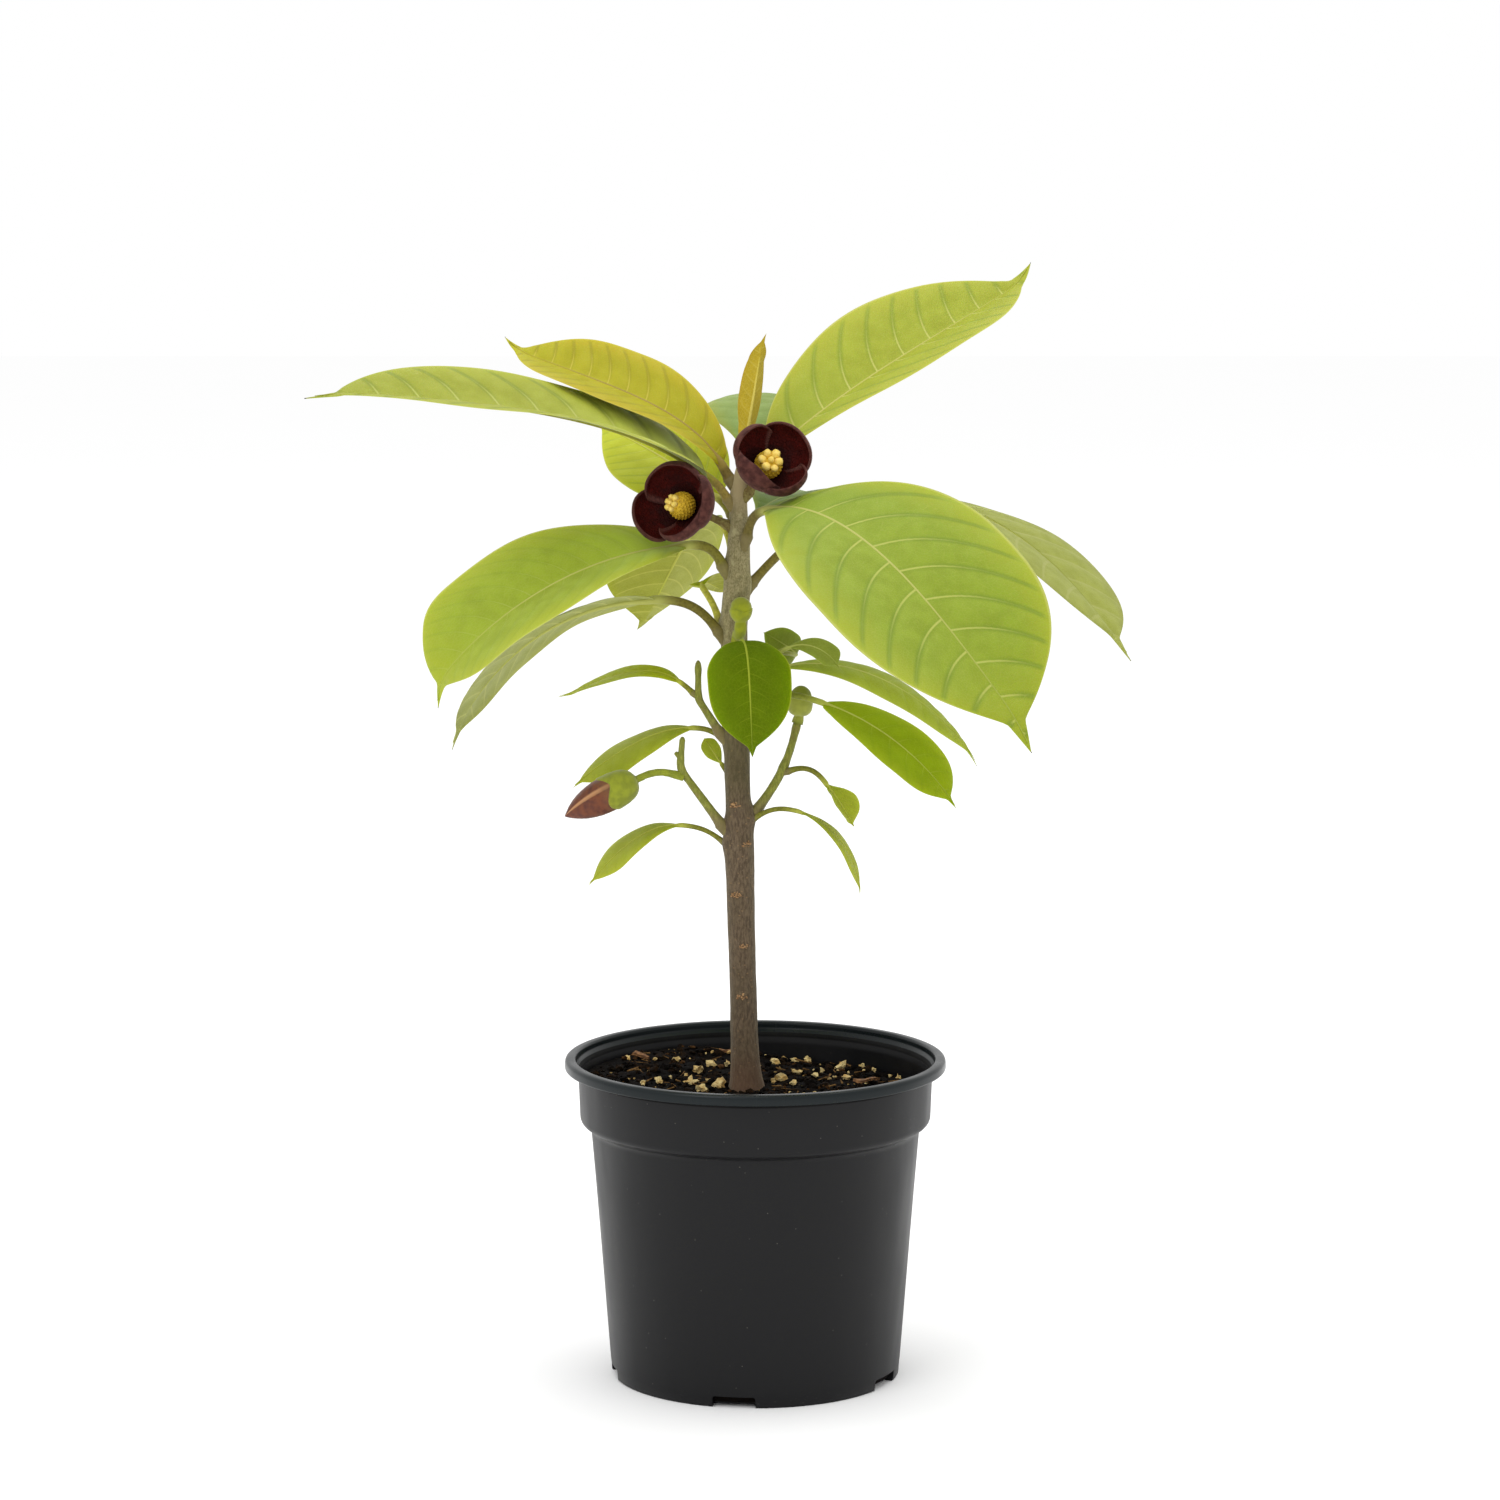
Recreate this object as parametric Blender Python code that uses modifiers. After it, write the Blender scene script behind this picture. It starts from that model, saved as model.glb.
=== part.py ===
"""A young pawpaw tree in a two-litre nursery pot.

The pot stands on its flat underside at the origin and is filled with compost. One stem rises from the
compost and carries three side twigs, stalked leaves, two open flowers and three buds.
Sizes are in millimetres and angles in degrees. A heading is a direction in plan: 0 is +X, 90 is +Y.
"""
import math
from collections import namedtuple

import bmesh
import bpy
from mathutils import Matrix, Vector

MM = 0.001
GAP = 0.35                   # clearance between pieces that touch
TIP_GAP = 0.7                # clearance between a stem's end and the piece that carries it on

# Pot
POT_HEIGHT = 143.0
RIM_RADIUS = 85.0
LIP_WIDTH = 4.8
LEDGE_DROP = 6.5             # the inner ledge lies this far under the rim
COLLAR_RADIUS = 79.1
COLLAR_HEIGHT = 27.0         # from the rim's top to the collar's lower edge
BODY_RADIUS = 73.3           # just under the collar
FOOT_RADIUS = 64.4
WALL = 1.6
FLOOR = 2.0
POT_STEPS = 48
NOTCH_COUNT = 5
NOTCH_WIDTH = 19.0
NOTCH_HEIGHT = 5.0
NOTCH_REACH = 6.0            # from the wall's outside towards the axis
NOTCH_HEADING = -98.5        # of the notch at the front

# Compost and trunk
SOIL_TOP = 129.2
TRUNK_TOP = 408.0
# Height, centre's x and radius up the trunk: root flare, the swelling at each old leaf node, soft tip
TRUNK_SHAPE = (
    (SOIL_TOP + GAP, -4.2, 8.0), (131, -4.2, 7.8), (134, -4.2, 7.3), (145, -4.7, 6.4), (168, -5.3, 6.0),
    (214, -6.5, 6.2), (241, -7.2, 6.5), (256, -7.6, 5.6), (288, -8.4, 5.8), (336, -9.4, 5.9),
    (346, -8.8, 6.1), (364, -7.7, 5.4), (391, -7.3, 3.7), (400, -7.0, 3.2), (TRUNK_TOP, -6.0, 2.2),
)
TWIG_STEP = 3.0              # spacing of the points along a twig or stalk

# A twig runs straight, turns from its rise to its end's climb round its bend, and runs straight on
Twig = namedtuple("Twig", "name height heading rise end bend sweep length base tip")
TWIGS = (
    Twig("twig_left_upper", height=290, heading=196, rise=57.5, end=90, bend=18, sweep=6, length=35,
         base=1.9, tip=1.2),
    Twig("twig_left_lower", height=249, heading=190, rise=54, end=95, bend=31, sweep=9, length=45,
         base=2.1, tip=1.3),
    Twig("twig_right", height=254, heading=10, rise=54, end=76, bend=23, sweep=38, length=44.5,
         base=2.2, tip=1.6),
)

Leaf = namedtuple("Leaf", "name stem at heading rise petiole stalk length width level end "
                          "bend turn roll fold curl widest flick wedge shoulder")


def leaf(name, stem, at, heading, rise, petiole, stalk, length, width, level, end,
         bend=1.7, turn=0, roll=0, fold=14, curl=0.10, widest=0.52, flick=0, wedge=1.2, shoulder=1.4):
    """A leaf: its place and heading on its stem, its petiole's rise, length and radius, its blade's length
    and width, and the climb at the blade's foot and tip. A larger wedge makes a slimmer foot, and a larger
    shoulder keeps the blade wide for longer towards its point."""
    return Leaf(name, stem, at, heading, rise, petiole, stalk, length, width, level, end,
                bend, turn, roll, fold, curl, widest, flick, wedge, shoulder)


LEAVES = (
    leaf("leaf_top_right", "trunk", 399, 19, 66, 17, 1.8, 166, 72, 40, 23, bend=2.7, turn=27, roll=-16,
         fold=25, curl=0.06, widest=0.47, flick=27, wedge=0.7, shoulder=1.1),
    leaf("leaf_top_left", "trunk", 402, 166, 60, 6, 1.7, 125, 49, 60, 16, bend=4, turn=-22, roll=21,
         fold=22, curl=0.06, widest=0.50, flick=24, wedge=0.8, shoulder=1.45),
    leaf("leaf_left_long", "trunk", 393, 194, 61, 13, 1.8, 184, 68, 38, 5, bend=3.2, turn=-5, roll=12,
         fold=19, curl=0.09, widest=0.61, flick=-13, wedge=0.5),
    leaf("leaf_back_left", "trunk", 386, 130, 46, 11, 1.7, 92, 51, 26, 14, roll=34, fold=18, curl=0.14,
         widest=0.40, flick=30, wedge=0.75, shoulder=1.05),
    leaf("leaf_back_top", "trunk", 404, 84, 58, 14, 1.7, 96, 46, 44, -30, bend=1, fold=2, curl=0.25),
    leaf("leaf_spear", "trunk", TRUNK_TOP, -42, 80, 5, 1.4, 54, 17, 76, 80, turn=14, roll=42, fold=54,
         curl=0.04, widest=0.44, flick=-18, wedge=1.05, shoulder=1.45),
    leaf("leaf_right_big", "trunk", 377, -56, 70, 20, 2.0, 192, 102, 14, -47, bend=2.4, turn=22, roll=-19,
         fold=12, curl=0.06, widest=0.49, flick=-13, wedge=1.15, shoulder=1.8),
    leaf("leaf_right_back", "trunk", 356, 21, 46, 36, 2.0, 196, 76, 33, -50, bend=1.9, turn=8, fold=8,
         widest=0.60, flick=-4, wedge=1.3, shoulder=1.5),
    leaf("leaf_back_right", "trunk", 377, 66, 45, 18, 1.8, 124, 56, 14, -30, bend=1),
    leaf("leaf_left_big", "trunk", 364, 200, 64, 20, 2.1, 140, 78, -2, -54, bend=1.1, turn=-13, roll=22,
         fold=19, curl=0.09, widest=0.66, flick=-34, wedge=0.85, shoulder=1.8),
    leaf("leaf_left_narrow", "trunk", 335, 199, 53, 33, 2.0, 120, 54, 3, -66, bend=1.2, turn=-20, roll=-18,
         fold=7, curl=0.15, widest=0.565, flick=-10, wedge=0.8, shoulder=1.7),
    leaf("leaf_back_centre", "trunk", 364, 110, 79, 27, 1.7, 92, 56, 13, -51, bend=4.5, turn=22, roll=-7,
         fold=20, curl=0, widest=0.60, flick=13, shoulder=1.55),
    leaf("leaf_back_small", "trunk", 339, 154, 70, 20, 1.5, 32, 16, 22, -30, turn=-130, roll=24, flick=40),
    leaf("leaf_front", "trunk", 325, -78, 55, 12, 1.2, 59, 37, 18, -76, bend=5, turn=-4, roll=-3, fold=8,
         curl=0.08, widest=0.38, flick=6, wedge=0.85, shoulder=1.7),
    leaf("leaf_curl_left", "trunk", 324, 8, 5, 28, 1.0, 38, 15, -12, 24, bend=1.6, turn=150, roll=62,
         wedge=0.9, shoulder=2),
    leaf("leaf_curl_right", "trunk", 319, -10, 28, 19, 1.0, 27, 13, 26, -54, bend=1.3, roll=-40, fold=11,
         widest=0.67, flick=-2, shoulder=2),
    leaf("leaf_right_upper", "trunk", 311, 10, 46, 15, 1.3, 106, 29, 12, -51, bend=1.5, turn=-9, roll=-18,
         fold=3, curl=0.18, widest=0.50, flick=-13, wedge=1.1, shoulder=1.25),
    leaf("leaf_right_middle", "trunk", 304, -30, 19, 37, 1.4, 78, 33, -14, -56, bend=1, turn=15, roll=-24,
         fold=11, curl=0.16, widest=0.60, flick=0, wedge=0.85, shoulder=1.75),
    leaf("leaf_right_small", "twig_right", 22.7, -19, 20, 20, 1.2, 23, 18, -50, -58, roll=-17, fold=24,
         curl=0),
    leaf("leaf_right_lower", "trunk", 251, -10, 35, 21, 1.1, 50, 16, -11, -79, bend=1.5, roll=-4, fold=7,
         curl=0.17, widest=0.56, flick=-14, wedge=1.1, shoulder=1.5),
    leaf("leaf_left_upper", "twig_left_upper", 20.5, 168, 44, 7, 1.1, 61, 20, 36, -25, bend=2.8, turn=-8,
         roll=12, fold=10, curl=0.14, widest=0.50, flick=11, wedge=0.75, shoulder=1.3),
    leaf("leaf_left_middle", "trunk", 287, 163, 33, 14, 1.2, 62, 27, 1, -37, bend=2.5, turn=25, roll=22,
         fold=0, curl=0.20, widest=0.555, flick=-6, wedge=0.95, shoulder=1.45),
    leaf("leaf_left_lower", "trunk", 240.5, 169, 37, 20, 1.1, 52, 22, 5, -48, bend=2.4, turn=20, roll=20,
         fold=6, curl=0.17, widest=0.55, flick=-2, shoulder=1.45),
    leaf("leaf_back_bud", "trunk", 272, 138, 40, 4, 1.0, 15, 8, 45, 45, roll=50, widest=0.55, shoulder=2),
)
SWELL = 0.35                                         # how far a petiole swells at its foot
SWELL_REACH = 2.5
PETIOLE_STOPS = (0, 0.12, 0.4, 0.7)                  # shares of the petiole
BLADE_STOPS = (0, 0.05, 0.12, 0.22, 0.34, 0.48, 0.62, 0.76, 0.88, 0.96, 0.995)
SECTION = (-1, -0.55, 0, 0.55, 1)                    # places across a blade, from its left margin
POINT = 0.07                                         # share of a blade that is its drawn-out point
FOOT_BLEND = 0.07                                    # share of a blade over which the round stalk flattens
LEAF_GAUGE = 0.0105                                  # thickness of a blade for its length
THINNEST_LEAF = 0.7

Flower = namedtuple("Flower", "name at heading rise reach face climb radius depth spin")
FLOWERS = (
    Flower("flower_upper", 396.5, -28, 55, 15.8, face=-73, climb=28, radius=18.4, depth=17, spin=30),
    Flower("flower_left", 382, 186, 27, 22.5, face=240, climb=15, radius=19.0, depth=17, spin=70),
)
PETALS = 3
PETAL_WALL = 1.5
FLOWER_SIDES = 24
NOTCH_SHARE = 0.26           # how deep the rim dips between two petals
STAMEN_RADIUS = 6.2
STAMEN_LENGTH = 10.4
FLOWER_STALK = 1.6
# Radius and height up the outside of a flower's cup, as shares of its full radius and depth
CUP_SHAPE = ((0.10, 0.0), (0.34, 0.06), (0.74, 0.30), (0.96, 0.62), (0.98, 0.84), (0.90, 1.0))

# Widest is the share of a bud's length where it is thickest, and a larger point draws its end out
Bud = namedtuple("Bud", "name stem at heading rise end reach stalk length radius widest point")
BUDS = (
    Bud("bud_left", "twig_left_lower", 29, 190, 17, -26, 19, 1.2, 35.5, 8.1, widest=0.40, point=0.85),
    Bud("bud_right", "twig_right", 44.5, 8, 74, 84, 2, 1.6, 13.6, 5.3, widest=0.45, point=0.5),
    Bud("bud_front", "trunk", 334, -74, 12, 88, 6.5, 2.1, 12.6, 4.8, widest=0.6, point=0.55),
)
BUD_STOPS = (0, 0.02, 0.08, 0.2, 0.34, 0.5, 0.66, 0.8, 0.92, 1)


def smooth(t):
    """An eased step from 0 to 1."""
    t = min(max(t, 0.0), 1.0)
    return t * t * (3 - 2 * t)


def towards(heading, climb):
    """The unit vector along a heading and a climb."""
    h, c = math.radians(heading), math.radians(climb)
    return Vector((math.cos(c) * math.cos(h), math.cos(c) * math.sin(h), math.sin(c)))


def frame(heading, climb, roll=0.0):
    """Ahead, right and up for something that travels along a heading and a climb."""
    ahead = towards(heading, climb)
    right = towards(heading - 90, 0)
    turn = Matrix.Rotation(-math.radians(roll), 3, ahead)
    right = turn @ right
    return ahead, right, right.cross(ahead)


def travel(foot, bearing, stops, stride=0.5):
    """Walk from foot, always along bearing(distance), and note the place and frame at each stop."""
    place, gone, notes = foot.copy(), 0.0, []
    for stop in stops:
        while gone < stop - 1e-9:
            step = min(stride, stop - gone)
            place += step * frame(*bearing(gone + step / 2))[0]
            gone += step
        notes.append((place.copy(), *frame(*bearing(stop))))
    return notes


def eased(table, height):
    """Smooth reading of rows (height, value, value...) at a height, by a curve through the rows."""
    rows = list(table)
    height = min(max(height, rows[0][0]), rows[-1][0])
    i = next(n for n in range(len(rows) - 1) if height <= rows[n + 1][0])
    before, a, b, after = rows[max(i - 1, 0)], rows[i], rows[i + 1], rows[min(i + 2, len(rows) - 1)]
    span = b[0] - a[0]
    t = (height - a[0]) / span
    values = []
    for k in range(1, len(a)):
        slope_a = (b[k] - before[k]) / (b[0] - before[0]) * span
        slope_b = (after[k] - a[k]) / (after[0] - a[0]) * span
        values.append((2 * t**3 - 3 * t**2 + 1) * a[k] + (t**3 - 2 * t**2 + t) * slope_a
                      + (3 * t**2 - 2 * t**3) * b[k] + (t**3 - t**2) * slope_b)
    return values


def trunk_at(height):
    """The trunk's centre, radius and direction at a height."""
    x, radius = eased(TRUNK_SHAPE, height)
    return Vector((x, 0, height)), radius, Vector((0, 0, 1))


def twig_bearing(twig):
    def bearing(s):
        return twig.heading, twig.rise + (twig.end - twig.rise) * smooth((s - twig.bend) / twig.sweep + 0.5)

    return bearing


def twig_foot(twig):
    return foot_beside("trunk", twig.height, twig.heading, twig.rise, twig.base)[0]


def twig_at(twig, distance):
    """The twig's centre, radius and direction at a distance along it."""
    place, ahead, _, _ = travel(twig_foot(twig), twig_bearing(twig), [distance])[0]
    return place, twig.base + (twig.tip - twig.base) * distance / twig.length, ahead


def stem_at(stem, at):
    if stem == "trunk":
        return trunk_at(at)
    return twig_at(next(twig for twig in TWIGS if twig.name == stem), at)


def foot_beside(stem, at, heading, rise, radius, mitred=False):
    """Where a round piece leaves the side of a stem, just clear of the bark, and the way its foot's face looks.

    A mitred face is turned half way from the piece's own direction to the bark."""
    centre, girth, along = stem_at(stem, at)
    side = towards(heading, 0)
    bark = (side - along * side.dot(along)).normalized()
    facing = towards(heading, rise)
    if mitred:
        facing = (bark + facing).normalized()
    lead = radius * math.sin(bark.angle(facing))
    return centre + bark * (girth + GAP + lead), facing


def is_at_tip(stem, at):
    """Whether a place on a stem is its very end, where a piece carries the stem on."""
    ends = {twig.name: twig.length for twig in TWIGS}
    return at == ends.get(stem, TRUNK_TOP)


def foot_of(piece, mitred):
    """A leaf's or bud's foot, beside its stem or on the stem's end, and the way that the foot's face looks."""
    if is_at_tip(piece.stem, piece.at):
        centre, _, along = stem_at(piece.stem, piece.at)
        return centre + along * TIP_GAP, along
    return foot_beside(piece.stem, piece.at, piece.heading, piece.rise, piece.stalk * (1 + SWELL), mitred)


def leaf_bearing(item):
    """Heading, climb and roll along a leaf: the petiole bends over to the blade, and the blade arches."""
    reach = item.petiole + item.length

    def bearing(s):
        if s < item.petiole:
            share = smooth(s / item.petiole)
            climb, roll = item.rise + (item.level - item.rise) * share, item.roll * share
        else:
            t = (s - item.petiole) / item.length
            climb = item.end + (item.level - item.end) * max(0.0, 1 - t) ** item.bend
            climb += item.flick * smooth((t - 0.84) / 0.16)
            roll = item.roll
        return item.heading + item.turn * s / reach, climb, roll

    return bearing


def blade_share(item, t):
    """A blade's half width at t along it, as a share of its largest: a wedge foot and a drawn-out point."""
    if t < item.widest:
        body = math.sin(math.pi / 2 * (t / item.widest) ** item.wedge)
    else:
        fall = min((t - item.widest) / (1 - POINT - item.widest), 1.0)
        body = math.cos(math.pi / 2 * fall ** item.shoulder)
    point = 0.09 * min(1.0, (1 - t) / POINT)
    return math.hypot(max(body, 0.0) ** 0.9, point)


def blade_section(item, t):
    """The outline across a blade at t: pairs right and up, along the upper side and back along the lower."""
    half = max(item.width / 2 * blade_share(item, t), 0.4)
    thick = max(item.length * LEAF_GAUGE, THINNEST_LEAF) * (0.5 + 0.5 * min(1.0, half / 4))
    fold = math.radians(item.fold) * min(1.0, half / (4 * thick))
    upper, lower = [], []
    for u in SECTION:
        side = (u > 0) - (u < 0)
        mid = (u * half * math.cos(fold), abs(u) * half * math.sin(fold) - item.curl * half * u * u)
        if side:
            off = (-side * math.sin(fold) * thick / 2, math.cos(fold) * thick / 2)
        else:
            off = (0.0, thick / 2 / math.cos(fold))
        rib = 0.0 if side else item.stalk * 0.9 * (1 - t)
        upper.append((mid[0] + off[0], mid[1] + off[1]))
        lower.append((mid[0] - off[0], mid[1] - off[1] - rib))
    return upper + lower[::-1]


def stalk_section(radius, count):
    """A round section whose points pair with a blade section's."""
    turns = [math.pi * (1 - (n + 0.5) / (count / 2)) for n in range(count)]
    return [(radius * math.cos(a), radius * math.sin(a)) for a in turns]


def leaf_rings(item):
    """The rings of points along a leaf, from its foot on the stem to its point."""
    stops = [item.petiole * share for share in PETIOLE_STOPS]
    stops += [item.petiole + item.length * t for t in BLADE_STOPS]
    foot, facing = foot_of(item, mitred=True)
    rings = []
    for stop, (place, ahead, right, up) in zip(stops, travel(foot, leaf_bearing(item), stops)):
        swell = 1 + SWELL * math.exp(-stop / SWELL_REACH)
        ring = stalk_section(item.stalk * swell, 2 * len(SECTION))
        if stop > item.petiole:
            t = (stop - item.petiole) / item.length
            blend = smooth(t / FOOT_BLEND)
            blade = blade_section(item, t)
            ring = [(a[0] + (b[0] - a[0]) * blend, a[1] + (b[1] - a[1]) * blend) for a, b in zip(ring, blade)]
        points = [place + right * x + up * y for x, y in ring]
        if stop == 0:
            points = [p - ahead * ((p - place).dot(facing) / ahead.dot(facing)) for p in points]
        rings.append(points)
    return rings


def flower_rings(item):
    """Rings along a flower's stalk, up the outside of its cup, over the lobed rim and down the inside."""
    turn = (item.face - item.heading + 180) % 360 - 180

    def bearing(s):
        share = smooth(s / item.reach)
        return item.heading + turn * share, item.rise + (item.climb - item.rise) * share

    stops = [item.reach * n / 5 for n in range(6)]
    foot, _ = foot_beside("trunk", item.at, item.heading, item.rise, FLOWER_STALK)
    notes = travel(foot, bearing, stops)
    base, ahead, right, up = notes[-1]
    angles = [2 * math.pi * n / FLOWER_SIDES for n in range(FLOWER_SIDES)]

    def ring(centre, radii, lifts):
        return [centre + ahead * lift + (right * math.cos(a) + up * math.sin(a)) * radius
                for a, radius, lift in zip(angles, radii, lifts)]

    rings = [[place + (r * math.cos(a) + u * math.sin(a)) * FLOWER_STALK for a in angles]
             for place, _, r, u in notes[:-1]]
    waves = [abs(math.cos(PETALS / 2 * (a - math.radians(item.spin)))) for a in angles]
    lobes = [1 - NOTCH_SHARE * (1 - wave ** 0.6) for wave in waves]
    for share, height in CUP_SHAPE:
        radius = item.radius * share
        rings.append(ring(base, [max(radius * lobe ** height, FLOWER_STALK) for lobe in lobes],
                          [item.depth * height * lobe for lobe in lobes]))
    for share, height in reversed(CUP_SHAPE[1:]):
        radius = item.radius * share - PETAL_WALL
        rings.append(ring(base, [max(radius * lobe ** height, 0.5) for lobe in lobes],
                          [item.depth * height * lobe + PETAL_WALL * (1 - height) for lobe in lobes]))
    return rings, base, ahead, right, up


def material(name, colour, roughness, metallic=0.0):
    """A Principled material, made once for each name."""
    made = bpy.data.materials.get(name)
    if made is None:
        made = bpy.data.materials.new(name)
        made.use_nodes = True
        shader = made.node_tree.nodes["Principled BSDF"]
        shader.inputs["Base Color"].default_value = (*colour, 1.0)
        shader.inputs["Roughness"].default_value = roughness
        shader.inputs["Metallic"].default_value = metallic
        made.diffuse_color = (*colour, 1.0)
    return made


def add_part(name, data, look, collection):
    """An object for a sub-part, in its collection and with its material."""
    item = bpy.data.objects.new(name, data)
    collection.objects.link(item)
    data.materials.append(material(*look))
    return item


def finished(name, body, look, collection):
    """An object from a bmesh in millimetres, with its faces pointing out."""
    body.normal_update()
    bmesh.ops.recalc_face_normals(body, faces=body.faces)
    body.transform(Matrix.Scale(MM, 4))
    mesh = bpy.data.meshes.new(name)
    body.to_mesh(mesh)
    body.free()
    mesh.shade_smooth()
    return add_part(name, mesh, look, collection)


def lofted(name, rings, look, collection):
    """A closed solid through rings of equal count, capped at both ends."""
    body = bmesh.new()
    made = [[body.verts.new(point) for point in ring] for ring in rings]
    count = len(made[0])
    for low, high in zip(made, made[1:]):
        for n in range(count):
            m = (n + 1) % count
            body.faces.new((low[n], low[m], high[m], high[n]))
    body.faces.new(made[0])
    body.faces.new(made[-1])
    return finished(name, body, look, collection)


def tube(name, notes, radii, look, collection, resolution=2):
    """A round solid of changing thickness along noted places."""
    curve = bpy.data.curves.new(name, "CURVE")
    curve.dimensions = "3D"
    curve.bevel_depth = MM
    curve.bevel_resolution = resolution
    curve.use_fill_caps = True
    line = curve.splines.new("POLY")
    line.points.add(len(notes) - 1)
    for point, where, radius in zip(line.points, notes, radii):
        point.co = (*(where * MM), 1.0)
        point.radius = radius
    return add_part(name, curve, look, collection)


def turned(name, outline, look, collection):
    """A solid of revolution about +Z from an outline of radius and height."""
    mesh = bpy.data.meshes.new(name)
    points = [(radius * MM, 0.0, height * MM) for radius, height in outline]
    mesh.from_pydata(points, [(n, n + 1) for n in range(len(points) - 1)], [])
    item = add_part(name, mesh, look, collection)
    spin = item.modifiers.new("turn", "SCREW")
    spin.steps = spin.render_steps = POT_STEPS
    spin.use_merge_vertices = True
    spin.merge_threshold = 0.00001
    spin.use_smooth_shade = True
    return item


def wall_radius(height):
    """The body's outer radius at a height under the collar."""
    top = POT_HEIGHT - COLLAR_HEIGHT
    return FOOT_RADIUS + (BODY_RADIUS - FOOT_RADIUS) * height / top


def make_pot(parts, cutters):
    """A thin moulded pot: floor, tapered wall, collar, ledge and rolled lip, with notches round its foot."""
    collar_foot = POT_HEIGHT - COLLAR_HEIGHT
    shoulder = COLLAR_RADIUS - 0.9
    bore = RIM_RADIUS - LIP_WIDTH
    ledge = POT_HEIGHT - LEDGE_DROP
    outline = (
        (0, FLOOR), (wall_radius(FLOOR) - WALL, FLOOR),
        (wall_radius(collar_foot - 4) - WALL, collar_foot - 4), (shoulder - WALL, collar_foot + 1.5),
        (COLLAR_RADIUS - WALL, ledge), (bore, ledge + 1.0),
        (bore + 0.2, POT_HEIGHT - 0.9), (bore + 1.1, POT_HEIGHT),
        (RIM_RADIUS - 1.6, POT_HEIGHT), (RIM_RADIUS - 0.2, POT_HEIGHT - 1.2), (RIM_RADIUS, POT_HEIGHT - 4.2),
        (RIM_RADIUS - 0.9, POT_HEIGHT - 5.2), (COLLAR_RADIUS + 0.4, POT_HEIGHT - 5.0),
        (COLLAR_RADIUS, POT_HEIGHT - 6.0), (shoulder, collar_foot), (shoulder - 1.4, collar_foot - 1.8),
        (wall_radius(collar_foot - 3.2), collar_foot - 3.2), (wall_radius(1.0), 1.0),
        (FOOT_RADIUS - 0.8, 0), (0, 0),
    )
    pot = turned("pot", outline, ("pot_plastic", (0.022, 0.023, 0.026), 0.42), parts)
    for n in range(NOTCH_COUNT):
        heading = math.radians(NOTCH_HEADING + 360 / NOTCH_COUNT * n)
        bpy.ops.mesh.primitive_cube_add(size=1)
        cutter = bpy.context.object
        cutter.name = f"notch_cutter_{n + 1}"
        cutter.data.transform(Matrix.Diagonal((2 * NOTCH_REACH * MM, NOTCH_WIDTH * MM, 2 * NOTCH_HEIGHT * MM, 1)))
        cutter.location = (FOOT_RADIUS * MM * math.cos(heading), FOOT_RADIUS * MM * math.sin(heading), 0)
        cutter.rotation_euler.z = heading
        cutter.hide_render = True
        cutter.display_type = "WIRE"
        for owner in cutter.users_collection:
            owner.objects.unlink(cutter)
        cutters.objects.link(cutter)
        cut = pot.modifiers.new(f"notch_{n + 1}", "BOOLEAN")
        cut.operation = "DIFFERENCE"
        cut.object = cutter


def make_soil(parts):
    """The compost, a plug that fills the pot to under its ledge, clear of the wall."""
    collar_foot = POT_HEIGHT - COLLAR_HEIGHT
    gap = WALL + GAP + 0.05
    outline = (
        (0, SOIL_TOP), (COLLAR_RADIUS - gap - 0.4, SOIL_TOP), (COLLAR_RADIUS - 0.9 - gap, collar_foot + 1.6),
        (wall_radius(collar_foot - 4) - gap, collar_foot - 4), (wall_radius(FLOOR) - gap, FLOOR + GAP),
        (0, FLOOR + GAP),
    )
    turned("soil", outline, ("compost", (0.035, 0.022, 0.014), 0.95), parts)


def make_trunk(parts):
    """The one stem, from its flat cut on the compost to its soft tip."""
    rows = [row[0] for row in TRUNK_SHAPE]
    between = [(low + high) / 2 for low, high in zip(rows, rows[1:])]
    notes = [trunk_at(height) for height in sorted(rows + between)]
    tube("trunk", [centre for centre, _, _ in notes], [radius for _, radius, _ in notes],
         ("bark", (0.19, 0.14, 0.11), 0.8), parts, resolution=4)


def make_twigs(parts):
    for twig in TWIGS:
        count = round(twig.length / TWIG_STEP)
        stops = [twig.length * n / count for n in range(count + 1)]
        notes = [note[0] for note in travel(twig_foot(twig), twig_bearing(twig), stops)]
        radii = [twig.base + (twig.tip - twig.base) * stop / twig.length for stop in stops]
        tube(twig.name, notes, radii, ("green_bark", (0.26, 0.27, 0.09), 0.6), parts)


def make_leaves(parts):
    for item in LEAVES:
        young = item.name in ("leaf_spear", "leaf_top_left")
        look = ("young_leaf", (0.50, 0.42, 0.08), 0.5) if young else ("leaf", (0.30, 0.45, 0.06), 0.5)
        lofted(item.name, leaf_rings(item), look, parts)


def make_flowers(parts):
    """Each flower is a stalked cup of three thick petals round a knob of stamens and carpels."""
    for item in FLOWERS:
        rings, base, ahead, right, up = flower_rings(item)
        lofted(item.name, rings, ("petal", (0.06, 0.008, 0.010), 0.7), parts)
        knob = bmesh.new()
        bmesh.ops.create_uvsphere(knob, u_segments=14, v_segments=9, radius=1.0)
        turn = Matrix((up, right, ahead)).transposed().to_4x4()
        size = Matrix.Diagonal((STAMEN_RADIUS, STAMEN_RADIUS, STAMEN_LENGTH / 2, 1))
        seat = base + ahead * (item.depth * CUP_SHAPE[1][1] + PETAL_WALL + GAP + STAMEN_LENGTH / 2)
        knob.transform(Matrix.Translation(seat) @ turn @ size)
        finished(item.name + "_centre", knob, ("stamens", (0.62, 0.45, 0.10), 0.7), parts)


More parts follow.
